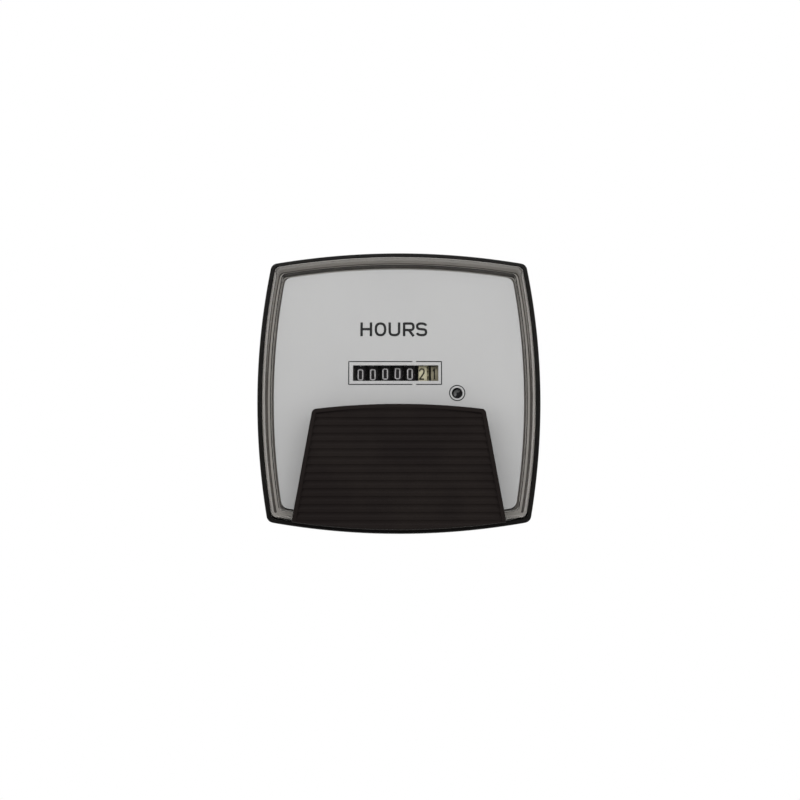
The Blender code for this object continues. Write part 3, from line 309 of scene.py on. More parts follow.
# %% Floor and light
WORLD_LIGHT = 0.32
ROOM_LIGHT = 0.05
world = bpy.data.worlds.new("studio")
world.use_nodes = True
bpy.context.scene.world = world
studio = Tree(world.node_tree)
camera_ray, glossy_ray, clear_ray, bounces = (
    studio.node("LightPath", output=name)
    for name in ("Is Camera Ray", "Is Glossy Ray", "Is Transmission Ray", "Glossy Depth"))
forwards = studio.node("SeparateXYZ", None, studio.node("TexCoord", output="Generated"), output="Y")
backdrop = forwards.between(0.3, 0.9, ROOM_LIGHT, 1.0)
bent = glossy_ray.math("MAXIMUM", clear_ray)
grey = studio.node("Mix", None, bent, None, WORLD_LIGHT, backdrop)
straight = clear_ray.math("SUBTRACT", bounces, use_clamp=True)
level = camera_ray.math("MAXIMUM", straight).math("MAXIMUM", grey)
background = studio.graph.nodes["Background"]
studio.connect(background.inputs["Strength"], level)
studio.connect(background.inputs["Color"], (1.0, 1.0, 1.0))


def soft_lamp(name, place, size, power):
    """A square lamp that faces the meter."""
    lamp = bpy.data.lights.new(name, "AREA")
    lamp.size = size
    lamp.energy = power
    made = bpy.data.objects.new(name, lamp)
    made.location = place
    made.rotation_euler = (-Vector(place)).to_track_quat("-Z", "Y").to_euler()
    made.visible_transmission = False  # no lamp is seen through the edges of the clear cover
    bpy.context.scene.collection.objects.link(made)


soft_lamp("key_lamp", (0, -0.55, 0.75), 1.2, 7.2)
soft_lamp("left_lamp", (-0.75, -0.50, 0.15), 0.9, 3.6)
soft_lamp("right_lamp", (0.75, -0.50, 0.15), 0.9, 3.8)

FLOOR_LEVEL, FLOOR_RADIUS = -0.60, 1.5
floor_body = bmesh.new()
bmesh.ops.create_circle(floor_body, cap_ends=True, segments=64, radius=FLOOR_RADIUS,
                        matrix=Matrix.Translation((0, 0, FLOOR_LEVEL)))
floor = plain_object("floor", floor_body, Matrix.Identity(4))
floor_finish = Finish("pale_floor", Roughness=0.8)
floor_finish.feed("Base Color", floor_finish.mix(floor_finish.noise(0.4), srgb(232, 232, 230),
                                                 srgb(238, 238, 237)))
floor.data.materials.append(floor_finish.material)

# %% [markdown]
# ## The bowed outline
# All moulded pieces of the case share one outline: four wide arcs with small round corners. A single
# vertex that is spun about the centre of a bow draws one side, and its end is spun on about the centre
# of the corner. Loops at different heights and insets are bridged to walls.

# %% The bowed outline
SIDE_STEPS = 40
CORNER_STEPS = 12


def arc_from(body, vert, centre, angle, steps):
    """Spins one vertex along an arc and returns the last one."""
    drawn = bmesh.ops.spin(body, geom=[vert], cent=centre, axis=(0, 0, 1), angle=angle, steps=steps)
    return [item for item in drawn["geom_last"] if isinstance(item, bmesh.types.BMVert)][0]


def new_loop(body, start, arcs):
    """A closed loop of arcs, each given as (centre, angle, steps), or a point to draw a line to."""
    before = set(body.edges)
    vert = body.verts.new(start)
    loop = [vert]
    for item in arcs:
        if len(item) == 3 and isinstance(item[0], tuple):
            vert = arc_from(body, vert, *item)
        else:
            corner = body.verts.new(item)
            body.edges.new((vert, corner))
            vert = corner
        loop.append(vert)
    if (loop[0].co - loop[-1].co).length > WELD:
        body.edges.new((loop[-1], loop[0]))
    drawn = dict.fromkeys(vert for edge in body.edges if edge not in before for vert in edge.verts)
    bmesh.ops.remove_doubles(body, verts=list(drawn), dist=WELD)
    return [edge for edge in body.edges if edge not in before]


def bowed_loop(body, inset, corner, height):
    """The case's outline, moved in, with its own corner radius."""
    side = (CASE_HALF - SIDE_BOW, 0, height)
    top = (0, CASE_HALF - TOP_BOW, height)
    side_reach = SIDE_BOW - inset - corner
    top_reach = TOP_BOW - inset - corner
    # the corner's centre is where two circles about the bows' centres meet
    apart = hypot(side[0], top[1])
    along = (side_reach ** 2 - top_reach ** 2 + apart ** 2) / (2 * apart)
    across = sqrt(side_reach ** 2 - along ** 2)
    x = side[0] - (along * side[0] + across * top[1]) / apart
    y = (along * top[1] - across * side[0]) / apart
    side_angle = atan2(y, x - side[0])
    top_angle = atan2(y - top[1], x)
    turn = top_angle - side_angle
    bow = SIDE_BOW - inset
    start = (side[0] + bow * cos(side_angle), -bow * sin(side_angle), height)
    left, bottom = (-side[0], 0, height), (0, -top[1], height)
    rounds = [(side, 2 * side_angle, SIDE_STEPS), ((x, y, height), turn, CORNER_STEPS),
              (top, pi - 2 * top_angle, SIDE_STEPS), ((-x, y, height), turn, CORNER_STEPS),
              (left, 2 * side_angle, SIDE_STEPS), ((-x, -y, height), turn, CORNER_STEPS),
              (bottom, pi - 2 * top_angle, SIDE_STEPS), ((x, -y, height), turn, CORNER_STEPS)]
    return new_loop(body, start, rounds)


def bridged(levels, draw=bowed_loop, ring=False):
    """A closed body through loops, whose levels end with their height. They are bridged while they
    stand a metre apart, because it isn't clear which way to bridge loops in one plane."""
    body = bmesh.new()
    loops = [draw(body, *level[:-1], step) for step, level in enumerate(levels)]
    for lower, upper in zip(loops, loops[1:] + (loops[:1] if ring else [])):
        bmesh.ops.bridge_loops(body, edges=lower + upper)
    for end in () if ring else (loops[0], loops[-1]):
        bmesh.ops.contextual_create(body, geom=end)
    for vert in body.verts:
        vert.co.z = levels[round(vert.co.z)][-1]
    return body


def rounded_edge(radius, steps):
    """(inset, drop) pairs along a quarter round, from the wall to the face."""
    return [(radius * (1 - cos(pi / 2 * step / steps)), radius * (1 - sin(pi / 2 * step / steps)))
            for step in range(steps + 1)]


# %% [markdown]
# ## Moulded black plastic
# The base and the ribbed cover are moulded from the same black plastic. A mould that was lightly etched
# leaves a fine grain, so the gloss is broken but soft, with a few paler clouds where it was handled.


# %% Moulded black plastic
def moulded_black(name, dark, light, gloss, shine):
    finish = Finish(name, Specular_IOR_Level=shine)
    clouds = finish.noise(18 * MM, 3.0)
    grain = finish.noise(0.22 * MM, 3.0, 0.6)
    finish.feed("Base Color", finish.mix(clouds.between(0.35, 0.7), dark, light))
    finish.feed("Roughness", gloss + 0.10 * clouds + 0.08 * grain)
    finish.bump(grain, 0.02 * MM, 0.5)
    return finish


case_black = moulded_black("case_black", srgb(16, 15, 14), srgb(21, 20, 18), 0.30, 0.15)
rib_black = moulded_black("rib_black", srgb(27, 22, 21), srgb(32, 27, 25), 0.50, 0.07)
print("finishes:", case_black.material.name, rib_black.material.name)

# %% [markdown]
# ## Base housing
# The base is one moulding: a flat tray with a thin rim at the front and a round barrel behind the panel,
# with posts for the movement, bosses for the terminals and holes for the studs. The tray is bridged from
# bowed loops, the barrel is turned, and the posts and holes are joined and cut as the mould does it.

# %% Base housing
FLOOR = 2.5 * MM
RIM_WALL = 1.25 * MM
RIM_ROUND = 0.35 * MM
CASE_CORNER = 2.3 * MM
POCKET_CORNER = 1.6 * MM
POCKET_EDGE = 0.1 * MM
BARREL_RADIUS = 35.766 * MM
BARREL_BORE = 33.766 * MM
BARREL_WALL_BACK = 2.5 * MM
BARREL_EDGE = 0.8 * MM
BARREL_STEPS = 128
FOOT_EDGE = 0.25 * MM

outer = [(FOOT_EDGE, CASE_CORNER, 0), (0, CASE_CORNER, FOOT_EDGE)]
outer += [(inset, CASE_CORNER, RIM_HEIGHT - drop) for inset, drop in rounded_edge(RIM_ROUND, 5)]
inner = [(RIM_WALL - POCKET_EDGE, POCKET_CORNER, RIM_HEIGHT),
         (RIM_WALL, POCKET_CORNER, RIM_HEIGHT - POCKET_EDGE), (RIM_WALL, POCKET_CORNER, FLOOR)]
housing = plain_object("housing", bridged(outer + inner))

barrel_profile = [(0, BARREL_BACK)]
barrel_profile += [(BARREL_RADIUS - inset, BARREL_BACK + drop)
                   for inset, drop in reversed(rounded_edge(BARREL_EDGE, 5))]
barrel_profile += [(BARREL_RADIUS, GAP), (0, GAP)]
combine(housing, "UNION", turned(barrel_profile, BARREL_STEPS))
bore = bmesh.new()
add_rod(bore, 0, 0, BARREL_BORE, BARREL_BACK + BARREL_WALL_BACK, 2 * FLOOR, BARREL_STEPS)
combine(housing, "DIFFERENCE", bore)

# %% [markdown]
# The posts stand where the screws and studs are, so their places are read from those nodes' boxes: the
# middle of a screw is the middle of its post.


# %% Posts and holes of the base
def middle(node):
    """Centre of a node, as seen from the front."""
    low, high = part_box(node)
    return (low.x + high.x) / 2, (low.z + high.z) / 2


MOVEMENT_SCREWS = ("movement_screw_left", "movement_screw_right", "movement_screw_top")
DIAL_SCREWS = ("dial_screw_left", "dial_screw_right")
STUDS = ("upper_left", "upper_right", "lower_left", "lower_right")
INNER_BACK = BARREL_BACK + BARREL_WALL_BACK
PLATE_BACK = -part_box("movement_frame")[1].y
MOVEMENT_POST, MOVEMENT_HOLE, MOVEMENT_HOLE_DEPTH = 3.5 * MM, 1.5 * MM, 6 * MM
DIAL_POST, DIAL_HOLE = 2.2 * MM, 1.25 * MM
BOSS, BOSS_TALL, TERMINAL_HOLE = 4.5 * MM, 5.2 * MM, 2.3 * MM
STUD_HOLE = 2.05 * MM
posts, holes = bmesh.new(), bmesh.new()
for node in MOVEMENT_SCREWS:
    x, y = middle(node)
    add_rod(posts, x, y, MOVEMENT_POST, INNER_BACK - GAP, PLATE_BACK - GAP)
    add_rod(holes, x, y, MOVEMENT_HOLE, PLATE_BACK - MOVEMENT_HOLE_DEPTH, PLATE_BACK)
for node in DIAL_SCREWS:
    x, y = middle(node)
    for level in (y, -y):
        add_rod(posts, x, level, DIAL_POST, FLOOR - GAP, DIAL_BACK - GAP)
    add_rod(holes, x, y, DIAL_HOLE, FLOOR, DIAL_BACK)
for side in ("left", "right"):
    x, y = middle(f"terminal_stud_{side}")
    add_rod(posts, x, y, BOSS, INNER_BACK - GAP, INNER_BACK + BOSS_TALL)
    add_rod(holes, x, y, TERMINAL_HOLE, BARREL_BACK - FLOOR, 0)
for where in STUDS:
    x, y = middle(f"mounting_stud_{where}")
    add_rod(holes, x, y, STUD_HOLE, -FLOOR, 2 * FLOOR)
combine(housing, "UNION", posts)
combine(housing, "DIFFERENCE", holes)
dress(housing, case_black, "case", "black_plastic", ["base_housing"])

# %% [markdown]
# ## Clear cover
# The cover is a clear tray. Its walls lean in a little so that it leaves the mould, and all its
# edges are round, which is what draws the thin light lines round the dial. Light from lamps goes
# straight through in the shader, because bent light would need far more samples to reach the dial.

# %% Clear plastic
clear = Finish("clear_plastic", Base_Color=srgb(250, 250, 248), Transmission_Weight=1.0, IOR=1.49)
wipes = clear.noise(2.5 * MM, 4.0, 0.6, clear.stretched(1.0, 1.0, 0.25))
clear.feed("Roughness", 0.05 * wipes.between(0.66, 0.90))
lamp_ray = clear.node("LightPath", output="Is Shadow Ray").math(
    "MAXIMUM", clear.node("LightPath", output="Is Diffuse Ray"))
glass = Field(clear, clear.shader.outputs["BSDF"])
glass_or_air = clear.node("MixShader", None, lamp_ray, glass, clear.node("BsdfTransparent"))
clear.connect(clear.graph.nodes["Material Output"].inputs["Surface"], glass_or_air)

# %% Clear cover
COVER_WALL = 2.4 * MM
COVER_FRONT = 2.2 * MM
COVER_DRAFT = 0.25 * MM
COVER_EDGE = 1.4 * MM
INNER_EDGE = 0.3 * MM
COVER_CORNER = 1.8 * MM
COVER_INNER_CORNER = 1.6 * MM
HOLD = 0.2 * MM  # a narrow flat ring that keeps the wide face shaded flat


def cover_inset(height):
    """How far the cover's outer wall lies inside the case outline at a height."""
    return RIM_WALL + GAP + COVER_DRAFT * (height - COVER_FOOT) / (COVER_HEIGHT - COVER_FOOT)


def cover_inside(height):
    """The same for the cover's inner wall."""
    return cover_inset(height) + COVER_WALL


inner_top = COVER_HEIGHT - COVER_FRONT
cover_levels = [(cover_inset(COVER_HEIGHT) + COVER_EDGE + HOLD, COVER_CORNER, COVER_HEIGHT)]
cover_levels += [(cover_inset(COVER_HEIGHT - drop) + inset, COVER_CORNER, COVER_HEIGHT - drop)
                 for inset, drop in reversed(rounded_edge(COVER_EDGE, 8))]
cover_levels += [(cover_inset(COVER_FOOT), COVER_CORNER, COVER_FOOT),
                 (cover_inside(COVER_FOOT), COVER_INNER_CORNER, COVER_FOOT)]
cover_levels += [(cover_inside(inner_top - drop) + inset, COVER_INNER_CORNER, inner_top - drop)
                 for inset, drop in rounded_edge(INNER_EDGE, 4)]
cover_levels += [(cover_inside(inner_top) + INNER_EDGE + HOLD, COVER_INNER_CORNER, inner_top)]
window_cover = plain_object("window_cover", bridged(cover_levels))
dress(window_cover, clear, "case", "clear_plastic", ["clear_cover"])

# %% [markdown]
# ## Seal
# A rubber seal lies under the foot of the clear wall and keeps dust out. It has two flat strips with a
# darker cord pressed in between them and a dark lip at its inside. Their tones are painted light and
# shade: the pale strips paint the glare of the clear wall, and the darker cord and lip paint its dark
# lines and the shade in the gap at the dial's edge. The wall shows them as warm lines round the dial,
# because clear plastic guides the light from its foot to its round edge. Bowed loops go once round each
# section, and the last loop is bridged to the first.


# %% Seal
def rubber(name, dark, light):
    """Soft rubber, mottled by age."""
    finish = Finish(name, Roughness=0.8, Specular_IOR_Level=0.3)
    mottle = finish.noise(0.8 * MM, 4.0, 0.6)
    finish.feed("Base Color", finish.mix(mottle, srgb(*dark), srgb(*light)))
    finish.bump(mottle, 0.02 * MM, 0.5)
    return finish


SEAL_LOW, SEAL_HIGH = 2.53 * MM, COVER_FOOT - 0.03 * MM
CORD_HIGH = SEAL_HIGH - 0.06 * MM
# tones are painted light and shade: pale strips paint the wall's glare, cord and lip its dark lines
SEAL_PARTS = (  # each with the insets of its outer and inner side in mm, its top and its finish
    ("seal_outer_strip", 1.60, 2.66, SEAL_HIGH, rubber("painted_glare_rubber", (176, 170, 164), (190, 184, 178))),
    ("seal_cord", 2.67, 3.02, CORD_HIGH, rubber("painted_shade_cord_rubber", (104, 99, 95), (120, 115, 110))),
    ("seal_inner_strip", 3.03, 4.05, SEAL_HIGH, rubber("painted_bright_glare_rubber", (216, 210, 204), (228, 223, 218))),
    ("seal_lip", 4.06, 4.85, CORD_HIGH, rubber("painted_shade_lip_rubber", (118, 114, 110), (136, 131, 127))))
for name, outside, inside, high, finish in SEAL_PARTS:
    section = [(outside, SEAL_LOW), (outside, high), (inside, high), (inside, SEAL_LOW)]
    strip = bridged([(inset * MM, COVER_CORNER, height) for inset, height in section], ring=True)
    dress(plain_object(name, strip), finish, "case", "grey_paint")

# %% [markdown]
# ## Ribbed lower cover
# A black cover snaps over the lower half. It is drawn as a block with slanted sides and an arched top,
# trimmed to the bowed case and hollowed by the clear cover's own shape, so it wraps the lower wall down
# to the rim. The ribs are the ridges left between shallow round-bottomed grooves in a sunk field.

# %% Outline of the ribbed cover
LOWER_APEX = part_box("lower_cover")[1].z
LOWER_BACK = COVER_HEIGHT + GAP
LOWER_FOOT = RIM_HEIGHT + GAP
LOWER_EDGE = 0.5 * MM
LOWER_ARCH = 215 * MM
LOWER_CORNER = 1.5 * MM
LOWER_LEAST_CORNER = 0.3 * MM
LOWER_TOP_HALF = 26.2 * MM
LOWER_SLOPE = radians(9.8)
LOWER_SKIRT = 0.45 * MM  # thickness of the wall that wraps the clear cover
LOWER_LIP = 0.95 * MM  # radius of its lower front edge


def lower_half_width(y):
    return LOWER_TOP_HALF + (LOWER_APEX - y) * sin(LOWER_SLOPE) / cos(LOWER_SLOPE)


def lower_loop(body, inset, height, bottom=-CASE_HALF - FLOOR):
    """Slanted sides under an arched top with round corners, moved in by an inset."""
    corner = max(LOWER_CORNER - inset, LOWER_LEAST_CORNER)
    arch = LOWER_APEX - LOWER_ARCH
    reach = LOWER_ARCH - inset - corner
    normal_x, normal_y = cos(LOWER_SLOPE), sin(LOWER_SLOPE)
    side = lower_half_width(0) * normal_x - inset - corner
    y = LOWER_APEX
    for _ in range(20):  # the corner's centre lies on the side's parallel and under the arch
        x = (side - y * normal_y) / normal_x
        y = arch + sqrt(reach ** 2 - x ** 2)
    arch_angle = atan2(y - arch, x)
    turn = arch_angle - LOWER_SLOPE
    foot = (side + corner - bottom * normal_y) / normal_x
    start = (x + corner * normal_x, y + corner * normal_y, height)
    return new_loop(body, start, [
        ((x, y, height), turn, CORNER_STEPS), ((0, arch, height), pi - 2 * arch_angle, SIDE_STEPS),
        ((-x, y, height), turn, CORNER_STEPS), (-foot, bottom, height), (foot, bottom, height)])


# %% Ribbed cover
edge = rounded_edge(LOWER_EDGE, 5)
ribbed_cover = plain_object("ribbed_cover", bridged(
    [(0, LOWER_FOOT)] + [(inset, LOWER_FRONT - drop) for inset, drop in edge], lower_loop))
skirt = GAP + LOWER_SKIRT
front_inset = cover_inset(LOWER_FRONT) - skirt
combine(ribbed_cover, "INTERSECT", bridged(
    [(cover_inset(FLOOR) - skirt, COVER_CORNER + skirt, FLOOR)]
    + [(front_inset + inset, COVER_CORNER + skirt, LOWER_FRONT - drop)
       for inset, drop in rounded_edge(LOWER_LIP, 6)]
    + [(front_inset + LOWER_LIP, COVER_CORNER + skirt, 2 * LOWER_FRONT)]))
combine(ribbed_cover, "DIFFERENCE", bridged(
    [(cover_inset(0) - GAP, COVER_CORNER, 0)]
    + [(cover_inset(COVER_HEIGHT - drop) + inset - GAP, COVER_CORNER, COVER_HEIGHT - drop + GAP)
       for inset, drop in rounded_edge(COVER_EDGE, 6)]))

# %% Ribs
RIB_COUNT = 15
RIB_PITCH = 2.4 * MM
RIB_FIRST = 2.5 * MM
GROOVE_HALF = 0.8 * MM
GROOVE_DEPTH = 0.42 * MM
GROOVE_RAISE = 0.07 * MM  # keeps the cutters' widest line off the field's floor
GROOVE_END = 0.03 * MM  # and their ends off the field's walls
FIELD_BORDER = 1.1 * MM
FIELD_DEPTH = 0.2 * MM
FIELD_LEAN = 0.25 * MM
FIELD_FLOOR = LOWER_FRONT - FIELD_DEPTH

combine(ribbed_cover, "DIFFERENCE", bridged(
    [(FIELD_BORDER + FIELD_LEAN, FIELD_FLOOR), (FIELD_BORDER, LOWER_FRONT + GAP)], lower_loop))
rods = bmesh.new()
for rib in range(RIB_COUNT):
    rod = bmesh.ops.create_cone(rods, cap_ends=True, segments=24, radius1=1, radius2=1,
                                depth=2 * CASE_HALF, matrix=ALONG_X)["verts"]
    level = LOWER_APEX - RIB_FIRST - rib * RIB_PITCH
    place = (0, level, FIELD_FLOOR + GROOVE_RAISE)
    bmesh.ops.transform(rods, verts=rod,
                        matrix=Matrix.LocRotScale(place, None, (1, GROOVE_HALF, GROOVE_DEPTH)))
grooves = plain_object("grooves", rods)
trim = FIELD_BORDER + FIELD_LEAN + GROOVE_END
combine(grooves, "INTERSECT", bridged([(trim, LOWER_BACK), (trim, LOWER_FRONT + GAP)], lower_loop))
combine(ribbed_cover, "DIFFERENCE", taken(grooves), Matrix.Identity(4))
dress(ribbed_cover, rib_black, "case", "black_plastic", ["lower_cover"])

# %% [markdown]
# ## Dial
# The dial is a sheet with a matt grey enamel. A very fine speckle and a soft change of tone keep it from
# looking like a flat fill. The window and the round hole are punched, so their edges are crisp.

# %% Dial
dial_paint = Finish("dial_paint", Roughness=0.62, Specular_IOR_Level=0.35)
speckle = dial_paint.noise(0.12 * MM)
tone = 0.7 * dial_paint.noise(25 * MM) + 0.3 * speckle
dial_paint.feed("Base Color", dial_paint.mix(tone, srgb(188, 188, 190), srgb(196, 196, 197)))
dial_paint.bump(speckle, 0.01 * MM, 0.4)

DIAL_CLEARANCE = 0.95 * MM
DIAL_CORNER = 2.6 * MM
DIAL_INSET = cover_inside(DIAL_FRONT) + DIAL_CLEARANCE
DIAL_EDGE = 0.06 * MM
HOLE_SHIFT = 0.25 * MM
RUN_X, RUN_Y = middle("worm_arbor")
HOLE_X = RUN_X - HOLE_SHIFT  # the hole is punched a little left of the arbor
dial = plain_object("dial", bridged([(DIAL_INSET, DIAL_CORNER, DIAL_BACK),
                                     (DIAL_INSET, DIAL_CORNER, DIAL_FRONT - DIAL_EDGE),
                                     (DIAL_INSET + DIAL_EDGE, DIAL_CORNER, DIAL_FRONT)]))
WINDOW_LOW = (-14.37 * MM, 3.33 * MM)
WINDOW_HIGH = (12.33 * MM, 8.30 * MM)
HOLE_RADIUS = 1.72 * MM
openings = bmesh.new()
add_block(openings, (*WINDOW_LOW, 0), (*WINDOW_HIGH, 2 * DIAL_FRONT))
add_rod(openings, HOLE_X, RUN_Y, HOLE_RADIUS, 0, 2 * DIAL_FRONT, 64)
for node in DIAL_SCREWS:
    add_rod(openings, *middle(node), DIAL_HOLE, 0, 2 * DIAL_FRONT)
combine(dial, "DIFFERENCE", openings)
dress(dial, dial_paint, "case", "grey_paint", ["dial_plate"])

# %% [markdown]
# ## Print
# Screen print is a film of ink a few hundredths of a millimetre thick. Each letter, digit and line is
# drawn as a pen would draw it: a curve through a few control points, whose round section is pressed
# flat. Order 3 rounds each corner between its points, and a point given twice keeps it sharp. Digits
# and the unit are plain, generic letterforms.

# %% Pen
INK = 0.03 * MM


def drawn(paths, width, scale_x=1.0, scale_y=1.0):
    """A bmesh of flattened strokes. Each path is (closed, points)."""
    curve = bpy.data.curves.new("strokes", "CURVE")
    curve.dimensions = "3D"
    curve.bevel_depth = width / 2
    curve.bevel_resolution = 1
    curve.use_fill_caps = True
    for closed, points in paths:
        spline = curve.splines.new("NURBS")
        spline.points.add(len(points) - 1)
        for target, (x, y) in zip(spline.points, points):
            target.co = (x * scale_x, y * scale_y, 0, 1)
        spline.order_u = 3
        spline.resolution_u = 5
        spline.use_cyclic_u = closed
        spline.use_endpoint_u = not closed
    pen = bpy.data.objects.new("pen", curve)
    bpy.context.scene.collection.objects.link(pen)
    bpy.context.view_layer.update()
    mesh = bpy.data.meshes.new_from_object(pen.evaluated_get(bpy.context.evaluated_depsgraph_get()))
    body = bmesh.new()
    body.from_mesh(mesh)
    bmesh.ops.remove_doubles(body, verts=body.verts, dist=WELD)  # joins the caps to their strokes
    bmesh.ops.scale(body, vec=(1, 1, 2 * INK / width), verts=body.verts)
    bpy.data.objects.remove(pen)
    bpy.data.curves.remove(curve)
    bpy.data.meshes.remove(mesh)
    return body


def ink(name, colour, worn):
    """Flat ink, a little thinner in places."""
    finish = Finish(name, Roughness=0.5, Specular_IOR_Level=0.3)
    thin = finish.noise(0.5 * MM, 3.0)
    finish.feed("Base Color", finish.mix(thin.between(0.4, 0.75), colour, worn))
    finish.bump(finish.noise(0.08 * MM), 0.005 * MM, 0.5)
    return finish


dark_ink = ink("dark_ink", srgb(30, 30, 32), srgb(40, 40, 42))
END = 1.19  # an open stroke's end is level with the outside of a round one
LETTERS = {
    "H": [(False, [(-1, -END), (-1, END)]), (False, [(1, -END), (1, END)]),
          (False, [(-1, 0.03), (1, 0.03)])],
    "O": [(True, [(-1, -1), (1, -1), (1, 1), (-1, 1)])],
    "U": [(False, [(-1, END), (-1, 0.3), (-1, -1), (1, -1), (1, 0.3), (1, END)])],
    "R": [(False, [(-1, -END), (-1, 1), (-1, 1), (-0.2, 1), (1, 1), (1, -0.12), (-0.2, -0.12),
                   (-1, -0.12)]),
          (False, [(0, -0.12), (1.05, -END)])],
    "S": [(False, [(0.95, 0.62), (0.8, 1), (-0.95, 1), (-0.95, 0.1), (0, 0.02), (0.95, -0.06),
                   (0.95, -1), (-0.8, -1), (-1, -0.62)])],
}

# %% Legend
LEGEND_STROKE = 0.79 * MM
LETTER_HALF = 1.47 * MM
LETTER_TALL = 1.86 * MM
LEGEND_Y = 19.71 * MM
LEGEND_X = (-10.25, -5.79, -1.42, 3.10, 7.14)  # middle of each letter in mm
legend = bmesh.new()
for letter, x in zip("HOURS", LEGEND_X):
    add_copy(legend, drawn(LETTERS[letter], LEGEND_STROKE, LETTER_HALF, LETTER_TALL),
             Matrix.Translation((x * MM, LEGEND_Y, DIAL_FRONT)))
dress(plain_object("legend_unit", legend), dark_ink, "case", "black_plastic")

# %% [markdown]
# Round the window runs a fine printed line with a gap in its top and bottom, which parts whole hours
# from their decimals. The line is drawn as two brackets, and a turned ring lies round the running mark.

# %% Printed lines
LINE = 0.33 * MM
FRAME_LEFT, FRAME_RIGHT = -15.68 * MM, 13.32 * MM
FRAME_LOW, FRAME_HIGH = 2.22 * MM, 9.44 * MM
BREAK_LEFT, BREAK_RIGHT = 4.22 * MM, 5.37 * MM
frame_paths = [
    (False, [(gap, FRAME_HIGH), *[(side, FRAME_HIGH)] * 2, *[(side, FRAME_LOW)] * 2, (gap, FRAME_LOW)])
    for gap, side in ((BREAK_LEFT, FRAME_LEFT), (BREAK_RIGHT, FRAME_RIGHT))]
lines = bmesh.new()
add_copy(lines, drawn(frame_paths, LINE), Matrix.Translation((0, 0, DIAL_FRONT)))
dress(plain_object("counter_line", lines), dark_ink, "case", "black_plastic")
RING_RADIUS = 2.38 * MM
ring = turned([(RING_RADIUS - LINE / 2, DIAL_FRONT - INK), (RING_RADIUS + LINE / 2, DIAL_FRONT - INK),
               (RING_RADIUS + LINE / 2, DIAL_FRONT + INK / 2), (RING_RADIUS, DIAL_FRONT + INK),
               (RING_RADIUS - LINE / 2, DIAL_FRONT + INK / 2)], 72, closed=True)
dress(plain_object("running_ring", ring, FRONT, (HOLE_X, 0, RUN_Y)), dark_ink, "case", "black_plastic")

# %% [markdown]
# ## Number drums
# Seven drums turn on one shaft: five black ones for whole hours and two cream ones for the decimals. A
# drum is turned, and the ring of teeth at its right side is made by pushing every second face of a short
# cylinder outwards with an inset, which tapers the teeth.


# %% Drum finishes
def drum_plastic(name, first, second, shine=0.35, gloss=0.42, clouds=(2.5 * MM, 3.0),
                 grain=(0.2 * MM, 3.0)):
    """Moulded plastic in clouds of two tones, as it yellows. Clouds and grain are (size, detail)."""
    finish = Finish(name, Specular_IOR_Level=shine)
    fine = finish.noise(*grain)
    finish.feed("Base Color", finish.mix(finish.noise(*clouds), srgb(*first), srgb(*second)))
    finish.feed("Roughness", gloss + 0.15 * fine)
    finish.bump(fine, 0.01 * MM, 0.4)
    return finish


drum_black = drum_plastic("drum_black", (22, 20, 23), (31, 28, 32), 0.15, 0.45, (3 * MM, 2.0),
                          (0.15 * MM, 2.0))
cream_drums = {"tenths": drum_plastic("drum_cream", (208, 203, 176), (188, 182, 152)),
               # a darker copy of the cream plastic, which paints the shade on the hundredths drum at the
               # window's end
               "hundredths": drum_plastic("drum_cream_painted_shade", (155, 148, 126), (128, 121, 102))}
light_ink = ink("light_ink", srgb(186, 184, 186), srgb(160, 158, 160))
sepia_ink = ink("sepia_ink", srgb(34, 32, 22), srgb(58, 54, 38))

# %% Drums
DRUMS = ("10000_hours", "1000_hours", "100_hours", "10_hours", "1_hours", "tenths", "hundredths")
SHOWN = (0, 0, 0, 0, 0, 2, 1)
STAGGER = (-0.54, -0.48, -0.27, -0.14, -0.27, -0.25, -0.33)  # mm that each drum has run past its place
DRUM_RADIUS = 7.0 * MM
DRUM_HALF = 1.3 * MM
DRUM_BORE = 1.1 * MM
DRUM_EDGE = 0.08 * MM
HUB_RADIUS = 2.2 * MM
HUB_REACH = 2.28 * MM
TEETH = 20
TOOTH_ROOT = 5.1 * MM
TOOTH_TALL = 0.9 * MM
TOOTH_LEAN = 0.2 * MM
RING_RIGHT = 2.0 * MM


def toothed_ring():
    """Twenty tapered teeth on a short cylinder."""
    body = bmesh.new()
    add_rod(body, 0, 0, TOOTH_ROOT, DRUM_HALF - GAP, RING_RIGHT, 2 * TEETH)
    sides = [face for face in body.faces if len(face.verts) == 4]
    sides.sort(key=lambda face: atan2(face.calc_center_median().y, face.calc_center_median().x))
    bmesh.ops.inset_individual(body, faces=sides[::2], thickness=TOOTH_LEAN, depth=TOOTH_TALL)
    return body


drum_profile = [
    (DRUM_BORE, -DRUM_HALF), (DRUM_RADIUS - DRUM_EDGE, -DRUM_HALF), (DRUM_RADIUS, DRUM_EDGE - DRUM_HALF),
    (DRUM_RADIUS, DRUM_HALF - DRUM_EDGE), (DRUM_RADIUS - DRUM_EDGE, DRUM_HALF),
    (HUB_RADIUS, DRUM_HALF), (HUB_RADIUS, HUB_REACH), (DRUM_BORE, HUB_REACH)]
drum_axis = {}
for name in DRUMS:
    low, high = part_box(f"wheel_{name}")
    place = (low.x + DRUM_HALF, (low.y + high.y) / 2, (low.z + high.z) / 2)
    drum_axis[name] = place
    drum = plain_object(f"drum_{name}", turned(drum_profile, 96, closed=True), ALONG_X, place)
    if name != DRUMS[-1]:
        combine(drum, "UNION", toothed_ring(), ALONG_X, place)
        core = bmesh.new()
        add_rod(core, 0, 0, DRUM_BORE, -HUB_REACH, 2 * HUB_REACH)
        combine(drum, "DIFFERENCE", core, ALONG_X, place)
    dress(drum, cream_drums.get(name, drum_black), f"number_wheel_{name}",
          "cream_plastic" if name in cream_drums else "black_plastic", [f"wheel_{name}"])

# %% [markdown]
# The digits are printed on the rims. Each is drawn flat, then rolled on: height on the drawing becomes
# an angle round the drum. Seen from the front a drum turns downwards as it counts, so the next digit
# stands above the one that shows.

